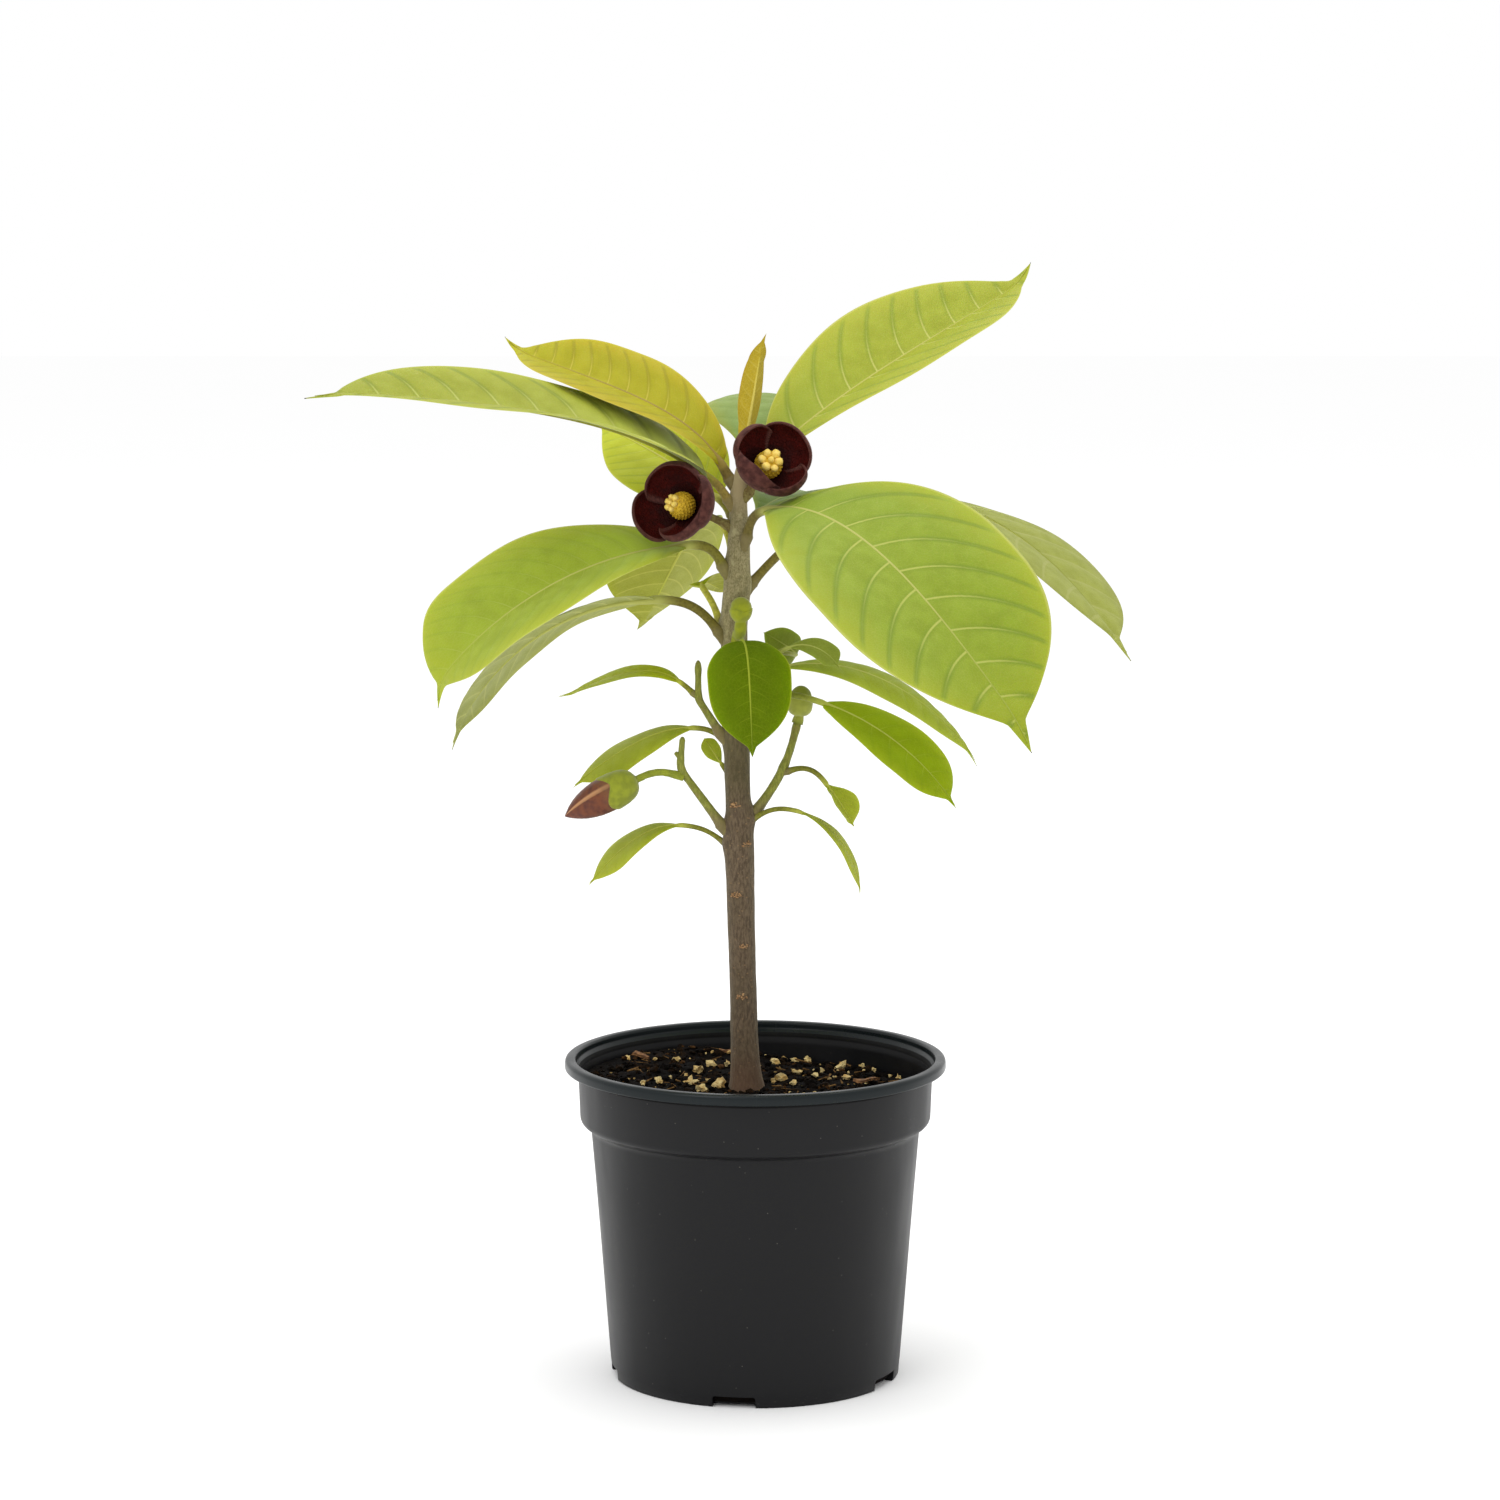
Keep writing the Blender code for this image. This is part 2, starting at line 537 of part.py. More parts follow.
def make_buds(parts):
    """A bud is a stalk that swells into a pointed egg."""
    for item in BUDS:
        def bearing(s):
            return item.heading, item.rise + (item.end - item.rise) * smooth(s / item.reach)

        stops = [item.reach * n / 4 for n in range(4)] + [item.reach + item.length * t for t in BUD_STOPS]
        radii = []
        for stop in stops:
            t = max(0.0, (stop - item.reach) / item.length)
            if t < item.widest:
                swell = item.radius * (1 - (1 - t / item.widest) ** 2.6) ** 0.4
            else:
                swell = item.radius * max(1 - ((t - item.widest) / (1 - item.widest)) ** 2.2, 0.0) ** item.point
            radii.append(max(item.stalk * (1 - t), swell, 0.3))
        foot, _ = foot_of(item, mitred=False)
        notes = [note[0] for note in travel(foot, bearing, stops)]
        tube(item.name, notes, radii, ("bud", (0.22, 0.20, 0.06), 0.6), parts, resolution=3)


def main():
    for item in list(bpy.data.objects):
        bpy.data.objects.remove(item)
    parts = bpy.data.collections.new("potted_pawpaw_tree")
    cutters = bpy.data.collections.new("cutters")
    for collection in (parts, cutters):
        bpy.context.scene.collection.children.link(collection)
    make_pot(parts, cutters)
    make_soil(parts)
    make_trunk(parts)
    make_twigs(parts)
    make_leaves(parts)
    make_flowers(parts)
    make_buds(parts)


main()
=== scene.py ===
import math
import random

import bmesh
import bpy
from mathutils import Matrix, Vector, noise


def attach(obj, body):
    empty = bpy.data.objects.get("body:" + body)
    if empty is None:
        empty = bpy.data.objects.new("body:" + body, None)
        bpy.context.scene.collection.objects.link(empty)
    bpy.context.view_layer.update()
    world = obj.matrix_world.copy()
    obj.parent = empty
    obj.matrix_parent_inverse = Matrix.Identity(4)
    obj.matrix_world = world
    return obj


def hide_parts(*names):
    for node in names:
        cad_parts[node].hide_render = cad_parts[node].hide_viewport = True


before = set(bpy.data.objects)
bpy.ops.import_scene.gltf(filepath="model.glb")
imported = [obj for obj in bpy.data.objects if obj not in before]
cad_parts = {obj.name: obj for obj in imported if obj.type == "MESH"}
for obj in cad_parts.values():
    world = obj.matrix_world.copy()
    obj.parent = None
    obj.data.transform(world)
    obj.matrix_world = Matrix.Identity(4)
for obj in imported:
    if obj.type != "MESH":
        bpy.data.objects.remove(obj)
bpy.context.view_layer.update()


# The pot
# A two-litre nursery pot, injection moulded in thin black polypropylene with a satin skin. A rolled lip
# stiffens the mouth, a stepped collar lets pots nest without jamming, and water leaves by foot notches.
def tint(red, green, blue):
    """A colour as the eye names it, from 0 to 255, in the light values that a shader works in."""
    parts = [part / 255 for part in (red, green, blue)]
    return (*(p / 12.92 if p <= 0.04045 else ((p + 0.055) / 1.055) ** 2.4 for p in parts), 1.0)


class Wire:
    """What comes out of a node. Sums on it add Math nodes to its finish."""

    def __init__(self, finish, socket):
        self.finish = finish
        self.socket = socket

    def __add__(self, other):
        return self.finish.maths("ADD", self, other)

    def __sub__(self, other):
        return self.finish.maths("SUBTRACT", self, other)

    def __rsub__(self, other):
        return self.finish.maths("SUBTRACT", other, self)

    def __mul__(self, other):
        return self.finish.maths("MULTIPLY", self, other)

    def __abs__(self):
        return self.finish.maths("ABSOLUTE", self)

    __radd__ = __add__
    __rmul__ = __mul__

    def ease(self, low, high, bottom=0.0, top=1.0):
        """Goes softly from bottom to top as this goes from low to high, whichever of these is larger."""
        limits = {"From Min": low, "From Max": high, "To Min": bottom, "To Max": top}
        return self.finish.node("ShaderNodeMapRange", {"interpolation_type": "SMOOTHSTEP"},
                                {"Value": self, **limits})

    def over(self, share, colour):
        """This colour with another laid over it by share."""
        return self.finish.blend(share, self, colour)


class Finish:
    """The finish of a surface: fixed values sit on its shader, and feed wires in what varies."""

    def __init__(self, name, fixed):
        self.material = bpy.data.materials.new(name)
        self.material.use_nodes = True
        self.shader = self.material.node_tree.nodes["Principled BSDF"]
        self.feed(fixed)

    def join(self, socket, value):
        if isinstance(value, Wire):
            self.material.node_tree.links.new(value.socket, socket)
        else:
            socket.default_value = value

    def feed(self, values):
        for name, value in values.items():
            self.join(self.shader.inputs[name], value)

    def wear(self, colour, cloud, smoothest, roughest, normal):
        """Wires in a colour, a roughness that follows a cloud, and the relief."""
        roughness = cloud.ease(0.3, 0.7, smoothest, roughest)
        self.feed({"Base Color": colour, "Roughness": roughness, "Normal": normal})

    def node(self, kind, settings={}, sockets={}, output=0):
        made = self.material.node_tree.nodes.new(kind)
        for setting, value in settings.items():
            setattr(made, setting, value)
        for name, value in sockets.items():
            self.join(made.inputs[name], value)
        return Wire(self, made.outputs[output])

    def maths(self, operation, *values):
        return self.node("ShaderNodeMath", {"operation": operation}, dict(enumerate(values)))

    def place(self, stretch=(1, 1, 1)):
        """Where a point lies on the object, in millimetres, drawn out along an axis if need be."""
        spot = self.node("ShaderNodeTexCoord", output="Object")
        scale = tuple(1000 * part for part in stretch)
        return self.node("ShaderNodeMapping", {}, {"Vector": spot, "Scale": scale})

    def cloud(self, size, stretch=(1, 1, 1), detail=3.0, rough=0.5):
        """Noise from 0 to 1 whose blotches are about size millimetres across."""
        return self.node("ShaderNodeTexNoise", {}, {"Vector": self.place(stretch), "Scale": 1 / size,
                                                    "Detail": detail, "Roughness": rough})

    def cells(self, size, stretch=(1, 1, 1), feature="F1"):
        return self.node("ShaderNodeTexVoronoi", {"feature": feature},
                         {"Vector": self.place(stretch), "Scale": 1 / size})

    def reading(self, name):
        """A number kept on the mesh's own points."""
        return self.node("ShaderNodeAttribute", {"attribute_name": name}, output="Fac")

    def blend(self, share, under, over):
        """One colour passing into another by share. Three numbers are a colour as the eye names it."""
        under, over = (tint(*colour) if not isinstance(colour, Wire) and len(colour) == 3 else colour
                       for colour in (under, over))
        return self.node("ShaderNodeMix", {"data_type": "RGBA"}, {0: share, 6: under, 7: over}, output=2)

    def relief(self, height, deep, below=None):
        """Fine relief in the light alone: deep is in millimetres for a height from 0 to 1."""
        sockets = {"Height": height, "Distance": deep / 1000, "Strength": 1.0}
        if below:
            sockets["Normal"] = below
        return self.node("ShaderNodeBump", {}, sockets)


def rounded(corners):
    """An outline of (radius, height, rounding) corners, with an arc of short steps at each rounded one."""
    line = []
    for n, (radius, height, bend) in enumerate(corners):
        here = Vector((radius, height))
        if not bend:
            line.append(here)
            continue
        back = (Vector(corners[n - 1][:2]) - here).normalized() * bend
        on = (Vector(corners[n + 1][:2]) - here).normalized() * bend
        for k in range(6):
            t = k / 5
            line.append(here + back * (1 - t) ** 2 + on * t * t)
    return line


def turned(line, steps):
    """A round body spun about the pot's axis from its outline."""
    body = bmesh.new()
    points = [body.verts.new((radius, 0, height)) for radius, height in line]
    for a, b in zip(points, points[1:]):
        body.edges.new((a, b))
    bmesh.ops.spin(body, geom=body.verts[:] + body.edges[:], cent=(0, 0, 0), axis=(0, 0, 1),
                   angle=2 * math.pi, steps=steps, use_merge=True)
    bmesh.ops.remove_doubles(body, verts=body.verts, dist=0.0005)
    bmesh.ops.recalc_face_normals(body, faces=body.faces)
    return body


def shown(name, body):
    """An object in the scene from a finished body."""
    mesh = bpy.data.meshes.new(name)
    body.to_mesh(mesh)
    body.free()
    thing = bpy.data.objects.new(name, mesh)
    bpy.context.scene.collection.objects.link(thing)
    return thing


def settled(name, body, nodes, finishes, crease=50, weld=0):
    """The piece in its place: welded, in metres, in its finishes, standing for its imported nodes."""
    if weld:
        bmesh.ops.remove_doubles(body, verts=body.verts, dist=weld)
    body.normal_update()
    for face in body.faces:
        face.smooth = True
    for edge in body.edges:
        edge.smooth = edge.calc_face_angle(0) < math.radians(crease)
    body.transform(Matrix.Scale(0.001, 4))
    piece = shown(name, body)
    for finish in finishes:
        piece.data.materials.append(finish.material)
    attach(piece, "root")
    if nodes:
        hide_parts(*nodes)
    return piece


rim_top = 143.8
pot_line = rounded((
    (0, 2.0, 0), (52, 2.0, 0), (62.9, 2.0, 0.8), (63.3, 7, 0), (64.8, 25, 0), (71.6, 113, 1.5),
    (76.6, 118, 1.5), (77.4, 134.5, 0.8), (78.2, 138.0, 0.4), (80.2, 140.7, 0.5), (80.25, rim_top, 1.4),
    (85.0, rim_top, 2.0), (85.1, 139.0, 0.9), (79.6, 139.2, 0.9), (79.1, 137.0, 0.6), (78.25, 115.4, 2.2),
    (73.5, 112.6, 2.2), (71.6, 90, 0), (69.2, 60, 0), (66.9, 30, 0), (65.5, 12, 0), (65.1, 7, 0),
    (64.9, 5.4, 0), (64.5, 0.5, 0), (63.9, 0, 0), (61.0, 0, 0), (60.4, 0.5, 0), (52, 0.5, 0), (0, 0.5, 0),
))
pot_body = turned(pot_line, 192)

satin_plastic = Finish("satin_black_plastic", {"Specular IOR Level": 0.22})
dust = satin_plastic.cells(5.5)
dust_speck = dust.ease(0.055, 0.02)
skin_mottle = satin_plastic.cloud(22, (1, 1, 0.35))
plastic_colour = satin_plastic.blend(skin_mottle, (9, 9, 11), (16, 16, 18))
height_on_pot = satin_plastic.node("ShaderNodeSeparateXYZ", {}, {0: satin_plastic.place()}, output=2)
scuff = satin_plastic.cloud(2.4, (1, 1, 4)).ease(0.62, 0.78) * height_on_pot.ease(9, 0)
plastic_colour = plastic_colour.over(scuff * 0.35, (96, 94, 90))
plastic_colour = plastic_colour.over(dust_speck * 0.5, (120, 116, 108))
# Painted reflection: the lip, from about 139 mm up, is laid over in a lighter bluish grey that stands in for
# the bright surroundings it reflects. It is also made a little glossier.
lip_painted_reflection = height_on_pot.ease(138.8, 139.2)
plastic_colour = plastic_colour.over(lip_painted_reflection, (14, 22, 24))
# Painted shadow: a black band on the collar just under the overhanging lip, where the lip shades it. The band
# is also made rougher.
under_lip_painted_shadow = height_on_pot.ease(136.6, 137.4) * height_on_pot.ease(139.3, 138.9)
plastic_colour = plastic_colour.over(under_lip_painted_shadow, (0, 0, 0))
grain = satin_plastic.cloud(0.55, detail=2.0)
flow = satin_plastic.cloud(30, (1, 1, 0.15), detail=1.0)
satin_plastic.feed({
    "Base Color": plastic_colour,
    "Roughness": skin_mottle.ease(0.3, 0.7, 0.36, 0.46) + dust_speck * 0.3 - lip_painted_reflection * 0.12
    + under_lip_painted_shadow * 0.4,
    "Normal": satin_plastic.relief(grain, 0.025, satin_plastic.relief(flow, 0.5)),
})
pot = settled("pot_shell", pot_body, ["pot"], [satin_plastic])

notch_count = 5
front_notch = -98.5
notches = bmesh.new()
for n in range(notch_count):
    turn = Matrix.Rotation(math.radians(front_notch + 360 / notch_count * n), 4, "Z")
    size = Matrix.Diagonal((0.012, 0.019, 0.010, 1))
    bmesh.ops.create_cube(notches, size=1, matrix=turn @ Matrix.Translation((0.0644, 0, 0)) @ size)
bmesh.ops.bevel(notches, geom=notches.edges[:], offset=0.0012, segments=3, profile=0.5, affect="EDGES",
                material=-1)
cutter = shown("notch_cutter", notches)
cut = pot.modifiers.new("notches", "BOOLEAN")
cut.object = cutter
cut.solver = "EXACT"
bpy.context.view_layer.update()
notched = bpy.data.meshes.new_from_object(pot.evaluated_get(bpy.context.evaluated_depsgraph_get()))
pot.modifiers.clear()
pot.data = notched
bpy.data.objects.remove(cutter)


# The compost
# Moist peat and composted bark, black-brown, with fibres, a few wood chips and cream grains of vermiculite.
# It is heaped a little to the left and sinks to the right, where the pot's wall shows above it.
def smooth(t):
    """A soft step from 0 to 1."""
    t = min(max(t, 0.0), 1.0)
    return t * t * (3 - 2 * t)


def compost_height(x, y):
    lie = 129.4 + 5.4 * smooth((-x + 0.35 * y - 5) / 55) - 2.4 * smooth((x + y - 40) / 60)
    lumps = noise.noise(Vector((x, y, 0)) / 9) * 1.3 + noise.noise(Vector((x, y, 5)) / 3.2) * 0.8
    edge = smooth((math.hypot(x, y) - 70) / 7)
    return lie + lumps * (1 - 0.6 * edge) - 0.8 * edge


# The seed fixes the relief of the bed, the wood chips and the leaf scars, which would change from run to run.
noise.seed_set(27)

bed_line = [Vector((n * 1.3, 129.2)) for n in range(59)] + [Vector((76.85, 129.2))]
bed_line += [Vector((76.4, 118.5)), Vector((71.4, 113)), Vector((62.8, 2.35)), Vector((0, 2.35))]
bed_body = turned(bed_line, 180)
for point in bed_body.verts:
    if point.co.z > 129:
        point.co.z = compost_height(point.co.x, point.co.y)
        point.co += noise.noise_vector(point.co / 1.7) * 0.35 * (math.hypot(*point.co.xy) < 75)


def earthy(name, dark, light, wet=0.8):
    """Damp crumbly matter between two browns."""
    finish = Finish(name, {"Specular IOR Level": 0.06})
    crumble = finish.cloud(1.1, detail=4.0, rough=0.65)
    patch = finish.cloud(4.0)
    colour = finish.blend((crumble * 0.6 + patch * 0.5).ease(0.38, 0.75), dark, light)
    finish.wear(colour, patch, wet, 0.97, finish.relief(crumble, 0.5))
    return finish


peat = earthy("damp_peat", (2, 1, 1), (17, 11, 7))
settled("compost_bed", bed_body, ["soil"], [peat], crease=180)

sower = random.Random(27)
full_turn = 6.283


def lumpy(body, where, size, flat, detail, ragged):
    """One lump of a joined piece: a small ball pressed flat, turned at random, its points pushed about."""
    points = bmesh.ops.create_icosphere(body, subdivisions=detail, radius=1.0)["verts"]
    turn = Matrix.Rotation(sower.uniform(0, full_turn), 3, "Z")
    turn = turn @ Matrix.Rotation(sower.uniform(-0.6, 0.6), 3, "X")
    shape = Vector((size * sower.uniform(0.75, 1.3), size * sower.uniform(0.6, 1.0), size * flat))
    seed = Vector((sower.uniform(0, 99), sower.uniform(0, 99), 0))
    for point in points:
        push = 1 + ragged * noise.noise(point.co * 1.3 + seed)
        point.co = where + turn @ (point.co * shape * push)


def thrown(reach):
    """A random place on the compost, no further than reach from the pot's axis."""
    away = reach * math.sqrt(sower.random())
    heading = sower.uniform(0, full_turn)
    return away * math.cos(heading), away * math.sin(heading)


def strewn(name, count, low, high, finish, reach=75.0):
    """Crumbs over the compost, as one piece."""
    body = bmesh.new()
    for _ in range(count):
        size = low + (high - low) * sower.random() ** 2.2
        heading = sower.uniform(0, full_turn)
        away = (reach - size * 1.3) * math.sqrt(sower.random())
        x, y = away * math.cos(heading), away * math.sin(heading)
        if math.hypot(x + 4, y) < 7.5 + size:
            continue
        where = Vector((x, y, compost_height(x, y) + size * 0.25))
        lumpy(body, where, size, sower.uniform(0.45, 0.8), 1, 0.9)
    settled(name, body, [], [finish], crease=25)


strewn("peat_crumbs", 620, 0.6, 2.6, peat)
strewn("bark_crumbs", 420, 0.6, 2.9, earthy("brown_bark", (6, 4, 2), (42, 28, 15)))
strewn("rusty_crumbs", 160, 0.5, 1.9, earthy("rusty_bark", (30, 18, 8), (84, 56, 28)))
strewn("sandy_crumbs", 90, 0.35, 1.0, earthy("sandy_grit", (120, 96, 58), (176, 150, 98)))

fibres = bmesh.new()
for _ in range(110):
    x, y = thrown(71)
    long = sower.uniform(3, 9)
    thick = sower.uniform(0.18, 0.55)
    if math.hypot(x, y) + long / 2 > 75 or math.hypot(x + 4, y) < 9 + long / 2:
        continue
    lie = Matrix.Rotation(sower.uniform(0, full_turn), 4, "Z")
    lie = lie @ Matrix.Rotation(1.57 + sower.uniform(-0.3, 0.3), 4, "X")
    seat = Matrix.Translation((x, y, compost_height(x, y) + 0.9 + thick))
    bmesh.ops.create_cone(fibres, cap_ends=True, segments=5, radius1=thick, radius2=thick * 0.4, depth=long,
                          matrix=seat @ lie)
settled("root_fibres", fibres, [], [earthy("dry_fibre", (70, 48, 26), (140, 108, 66))], crease=30)

vermiculite = Finish("cream_grain", {"Specular IOR Level": 0.35})
flake = vermiculite.cells(0.8, (1, 1, 2.5))
stain = vermiculite.cloud(3.0)
grain_colour = vermiculite.blend(stain.ease(0.35, 0.7), (222, 200, 140), (194, 156, 88))
grain_colour = grain_colour.over(flake.ease(0.5, 0.8) * 0.35, (120, 86, 40))
vermiculite.wear(grain_colour, stain, 0.6, 0.85, vermiculite.relief(flake, 0.35))
grains = bmesh.new()
grain_spots = (
    (-16, -1, 3.6), (-26, 19, 2.6), (-29, -2, 2.7), (-43, -9, 2.2), (-36, 36, 2.0), (-20, 35, 2.3),
    (-13, 39, 2.0), (-24, -12, 2.4), (-50, -15, 1.9), (24, 68, 2.0), (13, 68, 1.8), (9, 56, 2.4),
    (39, 47, 3.3), (41, 18, 2.2), (49, 54, 2.0), (54, 46, 1.9), (12, 17, 2.5), (8, 11, 1.7), (17, 8, 2.0),
    (-58, 37, 1.8), (18, 66, 1.6), (30, 41, 2.1), (19, 29, 2.0), (65, 28, 2.0), (-21, 6, 1.5),
    (-31, 9, 1.6), (-38, 4, 1.3), (27, 22, 1.5),
)
for x, y, size in grain_spots:
    lumpy(grains, Vector((x, y, compost_height(x, y) + size * 0.4)), size * 0.9, 0.72, 2, 1.1)
for _ in range(46):
    x, y = thrown(70)
    if math.hypot(x + 4, y) > 10:
        size = sower.uniform(0.5, 1.25)
        lumpy(grains, Vector((x, y, compost_height(x, y) + size)), size, 0.75, 1, 0.7)
settled("vermiculite_grains", grains, [], [vermiculite], crease=35)

chips = bmesh.new()
for x, y, heading, long, wide in (
    (50, 4, 57, 17, 3.0), (-10, 60, 20, 12, 3.4), (-52, 34, -35, 8, 2.6), (22, -34, 80, 14, 3.2),
):
    seat = Matrix.Translation((x, y, compost_height(x, y) + 2.0))
    lie = Matrix.Rotation(math.radians(heading), 4, "Z") @ Matrix.Rotation(0.12, 4, "Y")
    bmesh.ops.create_cube(chips, size=1, matrix=seat @ lie @ Matrix.Diagonal((long, wide, 1.3, 1)))
bmesh.ops.subdivide_edges(chips, edges=chips.edges[:], cuts=3, use_grid_fill=True)
for point in chips.verts:
    point.co += noise.noise_vector(point.co / 2.5) * 0.9
wood_chip = Finish("pale_wood_chip", {"Specular IOR Level": 0.3})
wood_grain = wood_chip.cloud(1.4, (1, 1, 3), detail=4.0)
chip_colour = wood_chip.blend(wood_grain.ease(0.35, 0.7), (86, 56, 32), (152, 108, 66))
wood_chip.wear(chip_colour, wood_grain, 0.7, 0.9, wood_chip.relief(wood_grain, 0.4))
settled("wood_chips", chips, [], [wood_chip], crease=40)


# The stem
# One upright woody shoot, three years old. Grey-brown bark with fine vertical cracks covers its lower half,
# pale crescent scars mark where leaves fell, and the green top is felted with short grey hairs.
def eased(table, height):
    """Reads rows (height, value, value...) along a smooth curve through them."""
    height = min(max(height, table[0][0]), table[-1][0])
    i = next(n for n in range(len(table) - 1) if height <= table[n + 1][0])
    before, a, b, after = table[max(i - 1, 0)], table[i], table[i + 1], table[min(i + 2, len(table) - 1)]
    span = b[0] - a[0]
    t = (height - a[0]) / span
    values = []
    for k in range(1, len(a)):
        slope_a = (b[k] - before[k]) / (b[0] - before[0]) * span
        slope_b = (after[k] - a[k]) / (after[0] - a[0]) * span
        values.append((2 * t**3 - 3 * t**2 + 1) * a[k] + (t**3 - 2 * t**2 + t) * slope_a
                      + (3 * t**2 - 2 * t**3) * b[k] + (t**3 - t**2) * slope_b)
    return values


def woven(body, rows, columns, spot, finish=0):
    """A sheet of rows by columns, each of whose corners lies at spot(row share, column share)."""
    points = bmesh.ops.create_grid(body, x_segments=columns, y_segments=rows, size=1.0)["verts"]
    sheet = {face for point in points for face in point.link_faces}
    for face in sheet:
        face.material_index = finish
    for point in points:
        row, column = round((point.co.y + 1) / 2 * rows), round((point.co.x + 1) / 2 * columns)
        point.co = spot(row / rows, column / columns)
    return points


stem_top = 408.0
stem_shape = (
    (127.0, -4.2, 8.4), (131, -4.2, 7.9), (134, -4.2, 7.3), (145, -4.7, 6.4), (168, -5.3, 6.0),
    (214, -6.5, 6.2), (241, -7.2, 6.5), (256, -7.6, 5.6), (288, -8.4, 5.8), (336, -9.4, 5.9),
    (346, -8.8, 6.1), (364, -7.7, 5.4), (391, -7.3, 3.7), (400, -7.0, 3.2), (408, -6.0, 2.2),
)
# Height, heading and size of the swelling under each leaf, twig or scar
stem_knots = (
    (172, 260, 1.0), (195, 285, 0.9), (219, 250, 0.9), (240, 176, 1.8), (249, 190, 1.6), (251, -14, 2.4),
    (255, 10, 2.2), (240, 300, 0.9), (258, 262, 0.9), (287, 162, 1.2), (272, 138, 0.9), (290, 196, 1.4),
    (304, -26, 1.3), (310, 4, 1.0), (319, -10, 1.0), (324, 8, 1.0), (324, -66, 1.2), (336, 190, 1.8),
    (339, 150, 1.2), (356, 20, 1.8), (366, 129, 1.2), (364, 182, 1.8), (375, -46, 1.3), (377, 66, 1.2),
    (387, 128, 1.0), (395, 184, 0.9),
)


def bark_point(height, heading):
    """A point of the bark, with its knots and cracks."""
    x, radius = eased(stem_shape, height)
    turn = math.radians(heading)
    side = Vector((math.cos(turn), math.sin(turn), 0))
    old = smooth((360 - height) / 150)
    for knot_height, knot_heading, size in stem_knots:
        rise = (height - knot_height) / (3.4 if height > knot_height else 5.0)
        swing = ((heading - knot_heading + 180) % 360 - 180) / 38
        if abs(rise) < 3 and abs(swing) < 3:
            radius += 0.62 * size * math.exp(-rise * rise - swing * swing)
    cracks = noise.noise(Vector((side.x * 5.2, side.y * 5.2, height / 15)))
    fine = noise.noise(Vector((side.x * 13, side.y * 13, height / 6 + 40)))
    radius += old * (0.28 * cracks - 0.22 * max(0.0, fine) ** 0.7) + 0.1 * fine
    flare = smooth((137 - height) / 9)
    radius += flare * 0.9 * math.sin(3 * turn + 0.8) * 0.5
    return Vector((x, 0, height)) + side * radius


def stem_spot(row, column):
    """A point of the bark, or at either end the middle that its last ring closes on."""
    foot = stem_shape[0][0]
    if row in (0, 1):
        height = foot if row == 0 else stem_top + 1.2
        return Vector((eased(stem_shape, height)[0], 0, height))
    return bark_point(foot + (stem_top - foot) * (row - 0.004) / 0.992, -360 * column)


stem_body = bmesh.new()
woven(stem_body, 250, 48, stem_spot)
bmesh.ops.remove_doubles(stem_body, verts=stem_body.verts, dist=0.003)
bmesh.ops.recalc_face_normals(stem_body, faces=stem_body.faces)

bark = Finish("grey_brown_bark", {"Specular IOR Level": 0.3, "Sheen Weight": 0.25, "Sheen Roughness": 0.5,
                                  "Sheen Tint": tint(214, 212, 190)})
height_up = bark.node("ShaderNodeSeparateXYZ", {}, {0: bark.place()}, output=2)
streak = bark.cloud(1.0, (1, 1, 0.3), detail=4.0, rough=0.65)
speckle = bark.cloud(0.6, (1, 1, 0.6), detail=4.0, rough=0.75)
blotch = bark.cloud(11, (1, 1, 0.5))
lenticel = bark.cells(3.1, (1, 1, 1.6)).ease(0.2, 0.08)
old_bark = bark.blend(streak.ease(0.33, 0.68), (74, 60, 44), (108, 91, 70))
old_bark = old_bark.over(speckle.ease(0.55, 0.75) * 0.5, (146, 131, 108))
old_bark = old_bark.over(blotch.ease(0.42, 0.7) * 0.4, (84, 72, 50))
old_bark = old_bark.over(lenticel * 0.55, (148, 116, 80))
old_bark = old_bark.over(height_up.ease(152, 132) * 0.55, (96, 66, 48))
young_bark = bark.blend(speckle.ease(0.3, 0.72), (112, 102, 66), (164, 154, 114))
patches = bark.cloud(2.8, (1, 1, 0.6), detail=3.0)
young_bark = young_bark.over(patches.ease(0.5, 0.7) * 0.6, (92, 86, 52))
young_bark = young_bark.over(patches.ease(0.44, 0.3) * 0.6, (176, 168, 126))
young_bark = young_bark.over((height_up + blotch.ease(0, 1, -14, 14)).ease(380, 404), (158, 142, 104))
stem_colour = bark.blend((height_up + blotch.ease(0, 1, -26, 26)).ease(268, 338), old_bark, young_bark)
green_knots = height_up.ease(254, 272) * height_up.ease(340, 300)
stem_colour = stem_colour.over(green_knots * 0.45, (74, 70, 34))
bark.wear(stem_colour, speckle, 0.72, 0.92, bark.relief(speckle, 0.16, bark.relief(streak, 0.35)))
settled("stem_bark", stem_body, ["trunk"], [bark], crease=180)

scar_lumps = 14
scars = bmesh.new()
for height, heading, wide in (
    (172, 262, 2.3), (195, 281, 1.9), (218, 250, 2.3), (240.5, 300, 1.9), (258, 256, 2.1), (228, 80, 2.0),
    (188, 120, 2.0), (272, 60, 1.8),
):
    seat = bark_point(height, heading)
    out = (seat - Vector((eased(stem_shape, height)[0], 0, height))).normalized()
    stand = Matrix((Vector((0, 0, 1)).cross(out), Vector((0, 0, 1)), out)).transposed()
    for k in range(scar_lumps):
        swing, away = 2.4 * k, math.sqrt((k + 0.5) / scar_lumps)
        across, up = math.cos(swing) * away * wide, math.sin(swing) * away * wide * 0.62
        spot = Vector((across, up, -0.12 - 0.35 * away))
        spot += noise.noise_vector(Vector((k, height, 0))) * 0.5
        lumpy(scars, seat + stand @ spot, sower.uniform(0.45, 0.75), 0.7, 2, 0.8)
scar_cork = Finish("pale_scar_cork", {"Specular IOR Level": 0.3})
cork_cloud = scar_cork.cloud(0.7, detail=4.0)
